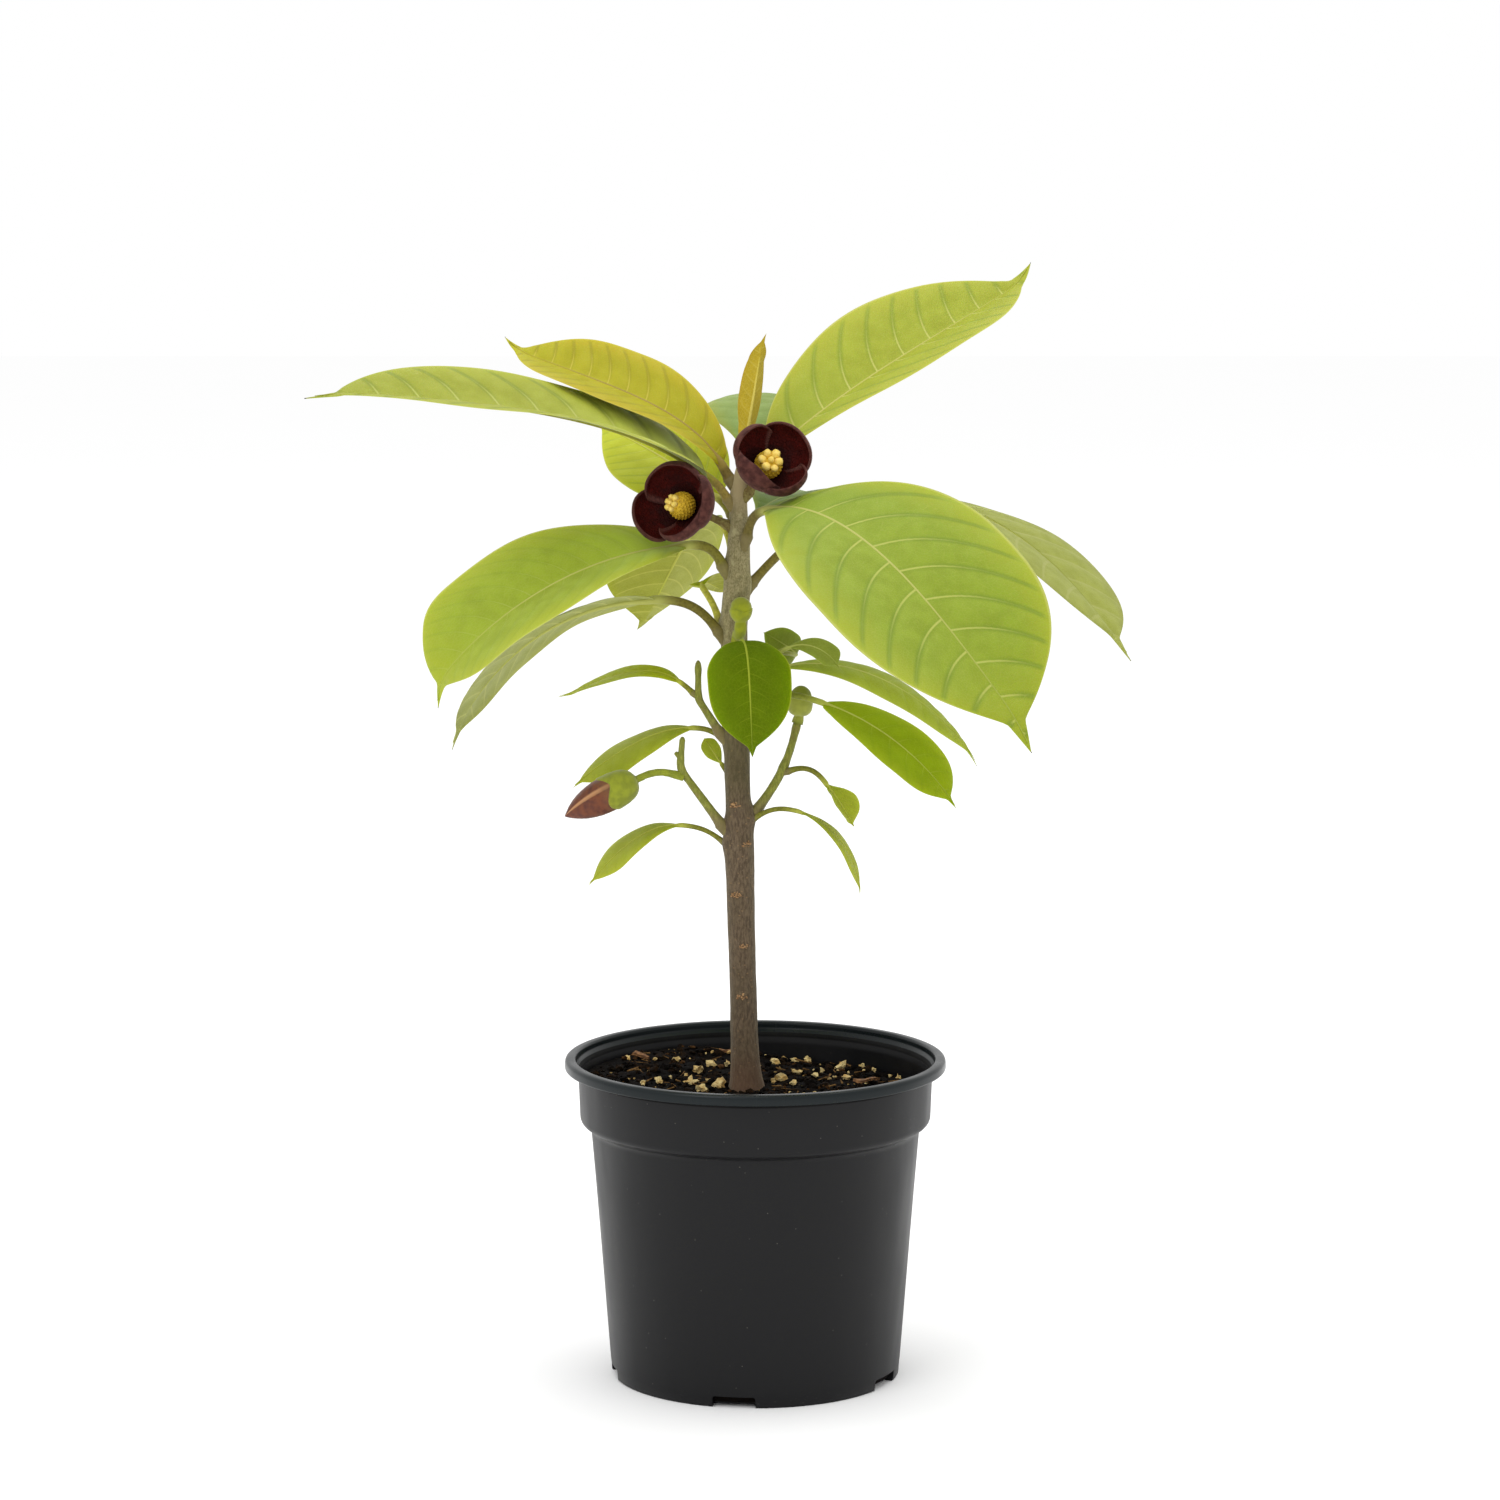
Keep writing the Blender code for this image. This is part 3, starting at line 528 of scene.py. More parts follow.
cork_colour = scar_cork.blend(cork_cloud.ease(0.3, 0.7), (118, 84, 54), (188, 150, 106))
scar_cork.wear(cork_colour, cork_cloud, 0.75, 0.9, scar_cork.relief(cork_cloud, 0.3))
settled("leaf_scars", scars, [], [scar_cork], crease=180)


# The side twigs
# Three short green shoots of this year leave the stem at its knots. They swell at the foot and at each leaf.
# Two end in a brown felted tip, and the third carries a flower bud.
def towards(heading, climb):
    """The direction of a compass heading and a climb, in degrees."""
    h, c = math.radians(heading), math.radians(climb)
    return Vector((math.cos(c) * math.cos(h), math.cos(c) * math.sin(h), math.sin(c)))


def axes(heading, climb, roll=0.0):
    """Ahead, right and up for a shoot that grows along a heading and a climb."""
    ahead = towards(heading, climb)
    right = Matrix.Rotation(-math.radians(roll), 3, ahead) @ towards(heading - 90, 0)
    return ahead, right, right.cross(ahead)


def grown(foot, bearing, stops, stride=0.5):
    """Grows a line from foot, always along bearing(distance), and notes its place and axes at each stop."""
    place, gone, notes = foot.copy(), 0.0, []
    for stop in stops:
        while gone < stop - 1e-9:
            step = min(stride, stop - gone)
            place += step * axes(*bearing(gone + step / 2))[0]
            gone += step
        notes.append((place.copy(), *axes(*bearing(stop))))
    return notes


def beside(stem, at, heading, rise, radius, mitred=False):
    """Where a round shoot leaves the side of the stem or of a twig, and its root down under the bark."""
    if stem == "trunk":
        x, girth = eased(stem_shape, at)
        centre, along = Vector((x, 0, at)), Vector((0, 0, 1))
    else:
        twig = twigs[stem]
        centre, along = grown(twig["foot"], twig["bearing"], [at])[0][:2]
        girth = twig["base"] + (twig["tip"] - twig["base"]) * at / twig["length"]
        if at == twig["length"]:
            return centre + along * 0.7, [centre - along * 1.5, centre - along * 0.7]
    side = towards(heading, 0)
    skin = (side - along * side.dot(along)).normalized()
    facing = towards(heading, rise)
    if mitred:
        facing = (skin + facing).normalized()
    foot = centre + skin * (girth + 0.35 + radius * math.sin(skin.angle(facing)))
    drop = radius * (3.6 if stem == "trunk" else 2.0)
    deep = centre + skin * (girth - radius * 1.2) - along * drop
    sunk = min(drop, (foot - deep).dot(skin) / max(facing.dot(skin), 0.3))
    bend = foot - towards(heading, rise) * sunk * 0.6
    return foot, [deep.lerp(bend, t).lerp(bend.lerp(foot, t), t) for t in (0, 0.2, 0.4, 0.6, 0.8)]


def piped(body, notes, radii, sides, root, finish=0):
    """A round shoot through its notes, closed at both ends, that narrows back along its root in the bark."""
    buried = []
    for here, on in zip(root, root[1:] + [notes[0][0]]):
        ahead = (on - here).normalized()
        right = (notes[0][2] - ahead * ahead.dot(notes[0][2])).normalized()
        buried.append((here, ahead, right, right.cross(ahead)))
    radii = [radii[0] * (0.4 + 0.62 * (n / len(root)) ** 0.8) for n in range(len(root))] + radii
    notes = buried + notes
    last = len(notes) - 1

    def spot(row, column):
        n = round(row * (last + 2)) - 1
        place, _, right, up = notes[min(max(n, 0), last)]
        radius = radii[min(max(n, 0), last)] * (0 <= n <= last)
        turn = -2 * math.pi * column
        return place + (right * math.cos(turn) + up * math.sin(turn)) * radius

    return woven(body, last + 2, sides, spot, finish)


twigs = {}
for name, height, heading, rise, end, bend, sweep, length, base, tip in (
    ("twig_left_upper", 290, 196, 57.5, 90, 18, 6, 35, 1.9, 1.2),
    ("twig_left_lower", 249, 190, 54, 95, 31, 9, 45, 2.1, 1.3),
    ("twig_right", 254, 10, 54, 76, 23, 38, 44.5, 2.2, 1.6),
):
    def twig_bearing(s, heading=heading, rise=rise, end=end, bend=bend, sweep=sweep):
        return heading, rise + (end - rise) * smooth((s - bend) / sweep + 0.5)

    foot, root = beside("trunk", height, heading, rise, base)
    twigs[name] = dict(foot=foot, root=root, bearing=twig_bearing, length=length, base=base, tip=tip)

green_shoot = Finish("green_shoot", {"Specular IOR Level": 0.35, "Sheen Weight": 0.15,
                                     "Sheen Roughness": 0.5})
shoot_share = green_shoot.reading("along")
shoot_streak = green_shoot.cloud(1.0, (1, 1, 0.3), detail=4.0)
shoot_mottle = green_shoot.cloud(5.0)
shoot_colour = green_shoot.blend(shoot_streak.ease(0.35, 0.7), (112, 116, 34), (140, 142, 52))
shoot_colour = shoot_colour.over(shoot_mottle.ease(0.5, 0.75) * 0.5, (128, 106, 66))
shoot_colour = shoot_colour.over(shoot_share.ease(0.22, 0.0) * 0.7, (112, 92, 66))
shoot_colour = shoot_colour.over(shoot_share.ease(0.86, 0.97) * 0.8, (104, 84, 60))
green_shoot.wear(shoot_colour, shoot_mottle, 0.55, 0.75, green_shoot.relief(shoot_streak, 0.25))
twig_swells = {"twig_left_upper": (19, 31), "twig_left_lower": (29.5, 34), "twig_right": (23.5, 42)}
for name, twig in twigs.items():
    body = bmesh.new()
    share = body.verts.layers.float.new("along")
    length = twig["length"]
    stops = [length * n / 56 for n in range(57)]
    radii = []
    for s in stops:
        radius = twig["base"] + (twig["tip"] - twig["base"]) * s / length
        radius += 0.9 * math.exp(-s / 2.2)
        for swell in twig_swells[name]:
            radius += 0.3 * math.exp(-((s - swell) / 2.4) ** 2)
        radius += 0.1 * noise.noise(Vector((s / 2.5, length, 0)))
        if name != "twig_right":
            radius *= 1 - smooth((s - length + 1.5) / 2) * 0.7
        radii.append(radius)
    piped(body, grown(twig["foot"], twig["bearing"], stops), radii, 20, twig["root"])
    if name == "twig_left_lower":
        seat = grown(twig["foot"], twig["bearing"], [35.5])[0][0]
        stub = [(seat + towards(184, 46) * s, *axes(184, 46)) for s in (0, 0.8, 1.6, 2.4, 3.2, 3.6)]
        piped(body, stub, [1.3, 1.25, 1.15, 1.05, 0.95, 0.55], 12, [seat - towards(184, 46) * 0.5])
    for point in body.verts:
        point[share] = min(max((point.co.z - twig["foot"].z) / length, 0.0), 1.0)
    settled("shoot_" + name[5:], body, [name], [green_shoot], crease=180, weld=0.003)


# The leaves
# Thin soft blades, wedge-shaped at the foot and drawn out to a point, each on a stalk that runs on as its
# midrib. Side veins leave the midrib nearly square and arch forward, and the blade puffs up between them.
vein_stagger = 0.35


def blade_share(t, widest, wedge, shoulder, drip):
    """Half the blade's width at t along it, as a share of its largest. It ends round, or in a drip tip."""
    if t < widest:
        body = math.sin(math.pi / 2 * (t / widest) ** wedge)
    else:
        blade_end = 0.93 if drip else 0.99
        body = math.cos(math.pi / 2 * min((t - widest) / (blade_end - widest), 1.0) ** shoulder)
    point = 0.09 * drip * min(1.0, (1 - t) / 0.07)
    return math.hypot(max(body, 0.0) ** 0.9, point) * min(1.0, t / 0.03) ** 0.7


# Kinds whose side veins show strongly
drawn_kinds = ("lime", "spring", "sunlit", "long", "golden", "yellow", "olive", "narrow")


def veined(skin):
    """How far a point is from the midrib, and from the side vein nearest to it, both from 0 to 1."""
    across = skin.reading("across")
    phase = skin.reading("phase") + skin.maths("GREATER_THAN", across, 0.0) * vein_stagger
    return abs(across), skin.maths("PINGPONG", phase, 0.5) * 2


def leaf_green(name, kind):
    """The three finishes of a leaf: its upper face, its under face, and its stalk with the midrib."""
    face, foot, margin, tip, vein, groove, under, rib, stalk = kind
    drawn = 1.0 if name in drawn_kinds else 0.35
    upper = Finish(name + "_face", {
        "Specular IOR Level": 0.06 if name in ("glossy", "acid") else 0.2, "Subsurface Weight": 0.12,
        "Subsurface Radius": (0.6, 1.0, 0.2), "Subsurface Scale": 0.0015,
    })
    along = upper.reading("along")
    edge, panel = veined(upper)
    mottle = upper.cloud(9)
    net = upper.cells(1.5, feature="DISTANCE_TO_EDGE")
    threads = net.ease(0.1, 0.0)
    colour = upper.blend(mottle.ease(0.3, 0.7), face, [part * 0.94 for part in face])
    # The foot colour. In the long and fresh kinds it is painted light, far paler than the face, lifting blade
    # feet that lie in shadow cast from above.
    colour = colour.over(along.ease(0.42, 0.02), foot)
    colour = colour.over((edge + mottle * 0.2).ease(0.62, 1.15), margin)
    colour = colour.over(along.ease(0.7, 1.0), tip)
    colour = colour.over(threads * 0.14, vein)
    # Darker green along the side veins: partly the leaf's own colour and partly painted shade in the hollows
    # between the puffed panels.
    shade = panel.ease(0.34, 0.0) * edge.ease(0.12, 0.5, 0.25, 0.62) * edge.ease(1.0, 0.86)
    colour = colour.over(shade * drawn, groove)
    line = panel.ease(0.085, 0.02) * edge.ease(0.7, 0.1, 0.12 * drawn, 0.85 * drawn)
    colour = colour.over(line, vein)
    colour = colour.over(edge.ease(0.965, 0.985) * 0.65, vein)
    upper.wear(colour, mottle, 0.5, 0.62,
               upper.relief(1 - threads, 0.05, upper.relief(upper.cloud(0.7, detail=2.0), 0.05)))

    lower = Finish(name + "_back", {"Specular IOR Level": 0.2, "Sheen Weight": 0.08, "Sheen Roughness": 0.6})
    edge, panel = veined(lower)
    mottle = lower.cloud(7)
    threads = lower.cells(1.5, feature="DISTANCE_TO_EDGE").ease(0.12, 0.0)
    colour = lower.blend(mottle.ease(0.3, 0.7), under, [part * 0.94 for part in under])
    colour = colour.over(edge.ease(0.7, 1.0) * 0.6, margin)
    colour = colour.over(threads * 0.2, rib)
    rib_line = panel.ease(0.14, 0.05) * edge.ease(1.0, 0.7, 0.2 * drawn, 0.75 * drawn)
    colour = colour.over(rib_line, rib)
    lower.wear(colour, mottle, 0.62, 0.75, lower.relief(threads, 0.06))

    stem = Finish(name + "_stalk", {"Specular IOR Level": 0.2, "Sheen Weight": 0.05, "Sheen Roughness": 0.5})
    along = stem.reading("along")
    streak = stem.cloud(1.2, detail=4.0)
    colour = stem.blend(streak.ease(0.35, 0.7), stalk, [part * 0.84 for part in stalk])
    colour = colour.over(along.ease(-0.35, 0.12), rib)
    colour = colour.over(along.ease(0.45, 0.95) * 0.7, face)
    colour = colour.over(along.ease(-0.84, -1.0) * 0.6, (128, 116, 80))
    stem.wear(colour, streak, 0.5, 0.66, stem.relief(streak, 0.12))
    return [upper, lower, stem]


# Face, foot, margin, tip, vein, groove, under face, midrib and stalk of each kind of leaf. The groove colour
# is partly the leaf's own darker green along the veins and partly painted shade
leaf_kinds = {
    "lime": ((131, 149, 32), (126, 146, 44), (146, 154, 38), (143, 153, 32), (170, 174, 84),
        (96, 120, 26), (140, 152, 74), (168, 170, 88), (110, 98, 42)),
    # Painted light: the fresh foot colour lifts a blade foot that lies in the shadow of the left flower.
    "fresh": ((151, 168, 43), (168, 188, 62), (162, 170, 44), (160, 170, 42), (184, 188, 92),
        (112, 138, 32), (150, 166, 74), (178, 180, 92), (124, 118, 40)),
    "spring": ((151, 159, 38), (146, 157, 44), (158, 160, 46), (152, 156, 40), (180, 180, 92),
        (112, 132, 30), (163, 161, 66), (172, 170, 84), (130, 116, 46)),
    "sunlit": ((190, 197, 30), (184, 190, 34), (190, 196, 40), (184, 192, 36), (204, 206, 92),
        (150, 166, 24), (184, 190, 70), (200, 200, 96), (150, 146, 48)),
    # Painted light: the long foot colour lifts a blade foot that lies in the shadow of the leaf above it.
    "long": ((147, 153, 40), (194, 204, 98), (152, 156, 44), (146, 152, 50), (170, 174, 88),
        (104, 120, 30), (146, 156, 66), (140, 138, 44), (152, 132, 60)),
    "yellow": ((170, 180, 22), (166, 178, 28), (174, 182, 34), (170, 178, 32), (190, 190, 84),
        (132, 144, 20), (166, 170, 58), (192, 192, 84), (206, 202, 78)),
    "golden": ((160, 154, 4), (154, 148, 2), (168, 152, 16), (166, 162, 26), (184, 172, 60),
        (130, 122, 4), (162, 150, 60), (142, 122, 52), (110, 92, 36)),
    "bronze": ((183, 162, 14), (178, 156, 24), (176, 146, 26), (160, 132, 40), (200, 180, 62),
        (156, 130, 8), (182, 158, 28), (206, 190, 90), (160, 146, 56)),
    "shade": ((128, 148, 74), (118, 142, 70), (146, 156, 66), (140, 152, 60), (158, 168, 100),
        (96, 124, 50), (132, 150, 88), (156, 166, 96), (112, 118, 52)),
    "olive": ((140, 147, 62), (128, 134, 50), (152, 156, 62), (146, 151, 66), (162, 168, 104),
        (96, 112, 40), (163, 170, 60), (172, 176, 86), (124, 112, 46)),
    "narrow": ((163, 168, 69), (146, 152, 56), (168, 172, 68), (164, 168, 70), (186, 190, 110),
        (120, 132, 48), (158, 164, 80), (180, 182, 96), (116, 106, 38)),
    "streaked": ((153, 166, 38), (140, 154, 38), (160, 170, 46), (156, 166, 46), (184, 190, 96),
        (124, 142, 30), (152, 162, 72), (178, 182, 92), (120, 122, 40)),
    "sprout": ((158, 166, 36), (146, 156, 36), (164, 170, 44), (160, 166, 40), (176, 180, 70),
        (132, 144, 26), (156, 164, 64), (174, 178, 70), (126, 126, 40)),
    "lit_sprout": ((173, 183, 6), (162, 172, 14), (176, 184, 30), (174, 182, 20), (188, 194, 60),
        (148, 160, 4), (168, 176, 54), (184, 188, 64), (134, 134, 38)),
    "acid": ((134, 154, 2), (130, 148, 10), (146, 160, 24), (138, 154, 12), (164, 176, 64), (108, 130, 2),
        (146, 158, 66), (166, 172, 70), (134, 140, 46)),
    "dull": ((126, 138, 40), (122, 134, 44), (132, 144, 48), (128, 140, 42), (166, 174, 84),
        (106, 120, 30), (134, 146, 62), (166, 172, 84), (130, 134, 50)),
    "glossy": ((91, 112, 0), (84, 106, 0), (98, 120, 0), (88, 108, 0), (150, 164, 40), (80, 100, 0),
        (124, 140, 56), (150, 162, 40), (122, 126, 42)),
}
leaf_looks = {kind: leaf_green(kind, colours) for kind, colours in leaf_kinds.items()}

leaf_habit = dict(bend=1.7, turn=0, roll=0, fold=14, curl=0.10, widest=0.52, flick=0, wedge=1.2,
                  shoulder=1.4, drip=1, veins=0)


def unfolded(name, kind, stem, at, heading, rise, petiole, stalk, length, width, level, end, **habit):
    """A leaf on its stem: petiole and midrib as one tapered stalk, and a blade of two joined skins."""
    habit = {**leaf_habit, **habit}
    reach = petiole + length

    def half_at(t):
        return width / 2 * blade_share(t, habit["widest"], habit["wedge"], habit["shoulder"], habit["drip"])

    def bearing(s):
        if s < petiole:
            share = smooth(s / petiole)
            climb, roll = rise + (level - rise) * share, habit["roll"] * share
        else:
            t = (s - petiole) / length
            climb = end + (level - end) * max(0.0, 1 - t) ** habit["bend"]
            climb += habit["flick"] * smooth((t - 0.84) / 0.16)
            roll = habit["roll"]
        return heading + habit["turn"] * s / reach, climb, roll

    foot, root = beside(stem, at, heading, rise, stalk * 1.35, mitred=True)
    if stem == "trunk" and at == stem_top:
        foot, root = Vector((-6, 0, at + 0.7)), [Vector((-6, 0, at - 2.5)), Vector((-6, 0, at - 1))]
    large = length > 78
    rows, columns = (120, 32) if large else (64, 20)
    veins = habit["veins"] or (10.5 if large else 8.0)
    puff = 0.0038 * length if large else 0.0028 * length
    gauge = 0.5 if large else 0.4
    sway = (at * 7.3) % full_turn
    notes = grown(foot, bearing, [petiole + length * n / rows for n in range(rows + 1)])

    body = bmesh.new()
    marks = {mark: body.verts.layers.float.new(mark) for mark in ("along", "across", "phase")}

    def vein_phase(t, away):
        """Counts the side veins up the blade. They leave the midrib nearly square and arch forward."""
        return veins * (t - 0.25 * away - 2.3 * away * away)

    def laid(side):
        """Places the corners of one skin, side 1 above and -1 below, and marks them for the finish."""
        def spot(row, column):
            t, u = row, side * (2 * column - 1)
            place, _, right, up = notes[round(row * rows)]
            half = half_at(t)
            fold = math.radians(habit["fold"]) * min(1.0, half / 6)
            lean = math.copysign(math.sin(fold), u) if u else 0.0
            normal = (up * math.cos(fold) - right * lean).normalized()
            lift = math.sqrt(u * u + 0.0016) * half * math.sin(fold) - habit["curl"] * half * u * u
            ripple = 0.018 * half * u * u * math.sin(15 * t + 2 * u + sway)
            phase = vein_phase(t, abs(u) * half / length) + vein_stagger * (u > 0)
            swell = abs(math.sin(math.pi * phase)) ** 0.75
            quilt = puff * swell * smooth(abs(u) / 0.2) * (1 - abs(u) ** 5)
            quilt = quilt * smooth(t / 0.1) * smooth((1 - t) / 0.12)
            thick = gauge * (1 - abs(u) ** 6) * min(1.0, half / 3)
            out = place + right * u * half * math.cos(fold) + up * (lift + ripple)
            return out + normal * (quilt - puff * 0.5 * smooth(abs(u) / 0.2) + side * thick / 2)

        points = woven(body, rows, columns, spot, finish=(1 - side) // 2)
        for k, point in enumerate(points):
            t = (k // (columns + 1)) / rows
            u = side * (2 * (k % (columns + 1)) / columns - 1)
            point[marks["along"]] = t
            point[marks["across"]] = u
            point[marks["phase"]] = vein_phase(t, abs(u) * half_at(t) / length)

    laid(1)
    laid(-1)

    stalk_rows = max(8, round(petiole / 1.2))
    stops = [petiole * n / stalk_rows for n in range(stalk_rows)]
    stops += [petiole + length * 0.975 * n / 60 for n in range(61)]
    lines, radii = [], []
    for s, (place, ahead, right, up) in zip(stops, grown(foot, bearing, stops)):
        t = (s - petiole) / length
        radius = stalk * (1 + 0.45 * math.exp(-s / 2.2))
        if t > 0:
            radius = stalk * (0.24 + 0.76 * (1 - t) ** 1.3) * (1 - 0.35 * smooth(t / 0.1))
            radius = radius * min(1, (1 - t) / 0.1 + 0.2)
        radii.append(radius)
        half = half_at(max(t, 0.0))
        crest = 0.04 * half * math.sin(math.radians(habit["fold"])) + gauge / 2 + 0.2 + 0.1 * radius
        lines.append((place + up * (crest - radius) * smooth(t / 0.08), ahead, right, up))
    points = piped(body, lines, radii, 12, root, finish=2)
    for k, point in enumerate(points):
        s = stops[min(max(k // 13 - len(root) - 1, 0), len(stops) - 1)]
        point[marks["along"]] = s / petiole - 1 if s < petiole else (s - petiole) / length
    settled("blade_" + name[5:], body, [name], leaf_looks[kind], crease=70, weld=0.002)


unfolded("leaf_top_right", "spring", "trunk", 399, 19, 66, 17, 1.8, 166, 72, 40, 23, bend=2.7, turn=27,
         roll=-16, fold=25, curl=0.06, widest=0.47, flick=27, wedge=0.7, shoulder=1.1)
unfolded("leaf_top_left", "golden", "trunk", 402, 166, 60, 6, 2.1, 125, 49, 60, 16, bend=4, turn=-22,
         roll=21, fold=22, curl=0.06, widest=0.50, flick=24, wedge=0.8, shoulder=1.45, veins=12.5)
unfolded("leaf_left_long", "long", "trunk", 393, 194, 61, 13, 1.8, 184, 68, 38, 5, bend=3.2, turn=-5,
         roll=12, fold=19, curl=0.09, widest=0.61, flick=-13, wedge=0.5)
unfolded("leaf_back_left", "sunlit", "trunk", 386, 130, 46, 11, 1.7, 92, 51, 26, 14, roll=34, fold=18,
         curl=0.14, widest=0.40, flick=30, wedge=0.75, shoulder=1.05)
unfolded("leaf_back_top", "shade", "trunk", 404, 84, 58, 14, 1.7, 96, 46, 44, -30, bend=1, fold=2,
         curl=0.25)
unfolded("leaf_spear", "bronze", "trunk", stem_top, -42, 80, 5, 1.4, 54, 17, 76, 80, turn=14, roll=42,
         fold=54, curl=0.04, widest=0.44, flick=-18, wedge=1.05, shoulder=1.45)
unfolded("leaf_right_big", "lime", "trunk", 377, -56, 70, 20, 2.0, 192, 102, 14, -47, bend=2.4, turn=22,
         roll=-19, fold=12, curl=0.06, widest=0.49, flick=-13, wedge=1.15, shoulder=1.8)
unfolded("leaf_right_back", "olive", "trunk", 356, 21, 46, 36, 2.0, 196, 76, 33, -50, bend=1.9, turn=8,
         fold=8, widest=0.60, flick=-4, wedge=1.3, shoulder=1.5)
unfolded("leaf_back_right", "shade", "trunk", 377, 66, 45, 18, 1.8, 124, 56, 14, -30, bend=1)
unfolded("leaf_left_big", "fresh", "trunk", 364, 200, 64, 20, 2.1, 140, 78, -2, -54, bend=1.1, turn=-13,
         roll=22, fold=19, curl=0.09, widest=0.66, flick=-34, wedge=0.85, shoulder=1.8, veins=14.5)
unfolded("leaf_left_narrow", "narrow", "trunk", 335, 199, 53, 33, 2.0, 120, 54, 3, -66, bend=1.2,
         turn=-20, roll=-18, fold=7, curl=0.15, widest=0.565, flick=-10, wedge=0.8, shoulder=1.7)
unfolded("leaf_back_centre", "yellow", "trunk", 364, 110, 79, 27, 1.7, 92, 56, 13, -51, bend=4.5, turn=22,
         roll=-7, fold=20, curl=0, widest=0.60, flick=13, shoulder=1.55)
unfolded("leaf_back_small", "yellow", "trunk", 339, 154, 70, 20, 1.5, 32, 16, 22, -30, turn=-130, roll=24,
         flick=40)
unfolded("leaf_front", "glossy", "trunk", 325, -78, 55, 12, 1.2, 59, 37, 18, -76, bend=5, turn=-4,
         roll=-3, fold=8, curl=0.08, widest=0.38, flick=6, wedge=1.05, shoulder=1.7)
unfolded("leaf_curl_left", "dull", "trunk", 324, 8, 5, 28, 1.0, 38, 15, -12, 24, bend=1.6, turn=150,
         roll=62, wedge=0.9, shoulder=2, drip=0)
unfolded("leaf_curl_right", "dull", "trunk", 319, -10, 28, 19, 1.0, 27, 13, 26, -54, bend=1.3, roll=-40,
         fold=11, widest=0.67, flick=-2, shoulder=2)
unfolded("leaf_right_upper", "streaked", "trunk", 311, 10, 46, 15, 1.3, 106, 29, 12, -51, bend=1.5,
         turn=-9, roll=-18, fold=3, curl=0.18, widest=0.50, flick=-13, wedge=1.1, shoulder=1.25)
unfolded("leaf_right_middle", "acid", "trunk", 304, -30, 19, 37, 1.4, 78, 33, -14, -56, bend=1, turn=15,
         roll=-24, fold=11, curl=0.16, widest=0.60, flick=0, wedge=0.85, shoulder=1.75)
unfolded("leaf_right_small", "sprout", "twig_right", 22.7, -19, 20, 20, 1.2, 23, 18, -50, -58, roll=-17,
         fold=24, curl=0)
unfolded("leaf_right_lower", "sprout", "trunk", 251, -10, 35, 21, 1.1, 50, 16, -11, -79, bend=1.5,
         roll=-4, fold=7, curl=0.17, widest=0.56, flick=-14, wedge=1.1, shoulder=1.5)
unfolded("leaf_left_upper", "lit_sprout", "twig_left_upper", 20.5, 168, 44, 7, 1.1, 61, 20, 36, -25,
         bend=2.8, turn=-8, roll=12, fold=10, curl=0.14, widest=0.50, flick=11, wedge=0.75, shoulder=1.3)
unfolded("leaf_left_middle", "sprout", "trunk", 287, 163, 33, 14, 1.2, 62, 27, 1, -37, bend=2.5, turn=25,
         roll=22, fold=0, curl=0.20, widest=0.555, flick=-6, wedge=0.95, shoulder=1.45)
unfolded("leaf_left_lower", "sprout", "trunk", 240.5, 169, 37, 20, 1.1, 52, 22, 5, -48, bend=2.4, turn=20,
         roll=20, fold=6, curl=0.17, widest=0.55, flick=-2, shoulder=1.45)
unfolded("leaf_back_bud", "sprout", "trunk", 272, 138, 40, 4, 1.0, 15, 8, 45, 45, roll=50, widest=0.55,
         shoulder=2, drip=0)


# The flowers
# Two open cups of thick velvety petals, maroon inside and dusky outside. Four petals show in each cup and
# overlap in a spiral, round a ball of packed stamens that is crowned by the cream tips of the carpels.
velvet = Finish("maroon_velvet", {"Specular IOR Level": 0.12, "Sheen Weight": 0.12, "Sheen Roughness": 0.4,
                                  "Sheen Tint": tint(130, 44, 36)})
up_petal = velvet.reading("along")
petal_cloud = velvet.cloud(3.2, detail=4.0)
petal_net = velvet.cells(1.6, feature="DISTANCE_TO_EDGE").ease(0.16, 0.0)
velvet_colour = velvet.blend(petal_cloud.ease(0.3, 0.7), (54, 6, 2), (74, 12, 6))
velvet_colour = velvet_colour.over(up_petal.ease(0.62, 0.2) * 0.7, (28, 4, 3))
velvet_colour = velvet_colour.over(up_petal.ease(0.86, 0.95), (96, 58, 52))
velvet_colour = velvet_colour.over(petal_net * 0.3, (26, 5, 4))
velvet.wear(velvet_colour, petal_cloud, 0.6, 0.75,
            velvet.relief(1 - petal_net, 0.18, velvet.relief(velvet.cloud(0.5), 0.12)))
dusk = Finish("dusky_petal_back", {"Specular IOR Level": 0.1, "Sheen Weight": 0.3, "Sheen Roughness": 0.45,
                                   "Sheen Tint": tint(170, 140, 130)})
dusk_cloud = dusk.cloud(2.6, detail=4.0)
dusk_colour = dusk.blend(dusk_cloud.ease(0.3, 0.7), (58, 29, 26), (88, 52, 46))
dusk.wear(dusk_colour, dusk_cloud, 0.7, 0.85, dusk.relief(dusk.cloud(0.6), 0.2, dusk.relief(dusk_cloud, 0.3)))
sepal_green = earthy("sepal_green", (96, 96, 48), (140, 132, 74))
stalk_brown = earthy("flower_stalk", (96, 78, 46), (142, 132, 80))

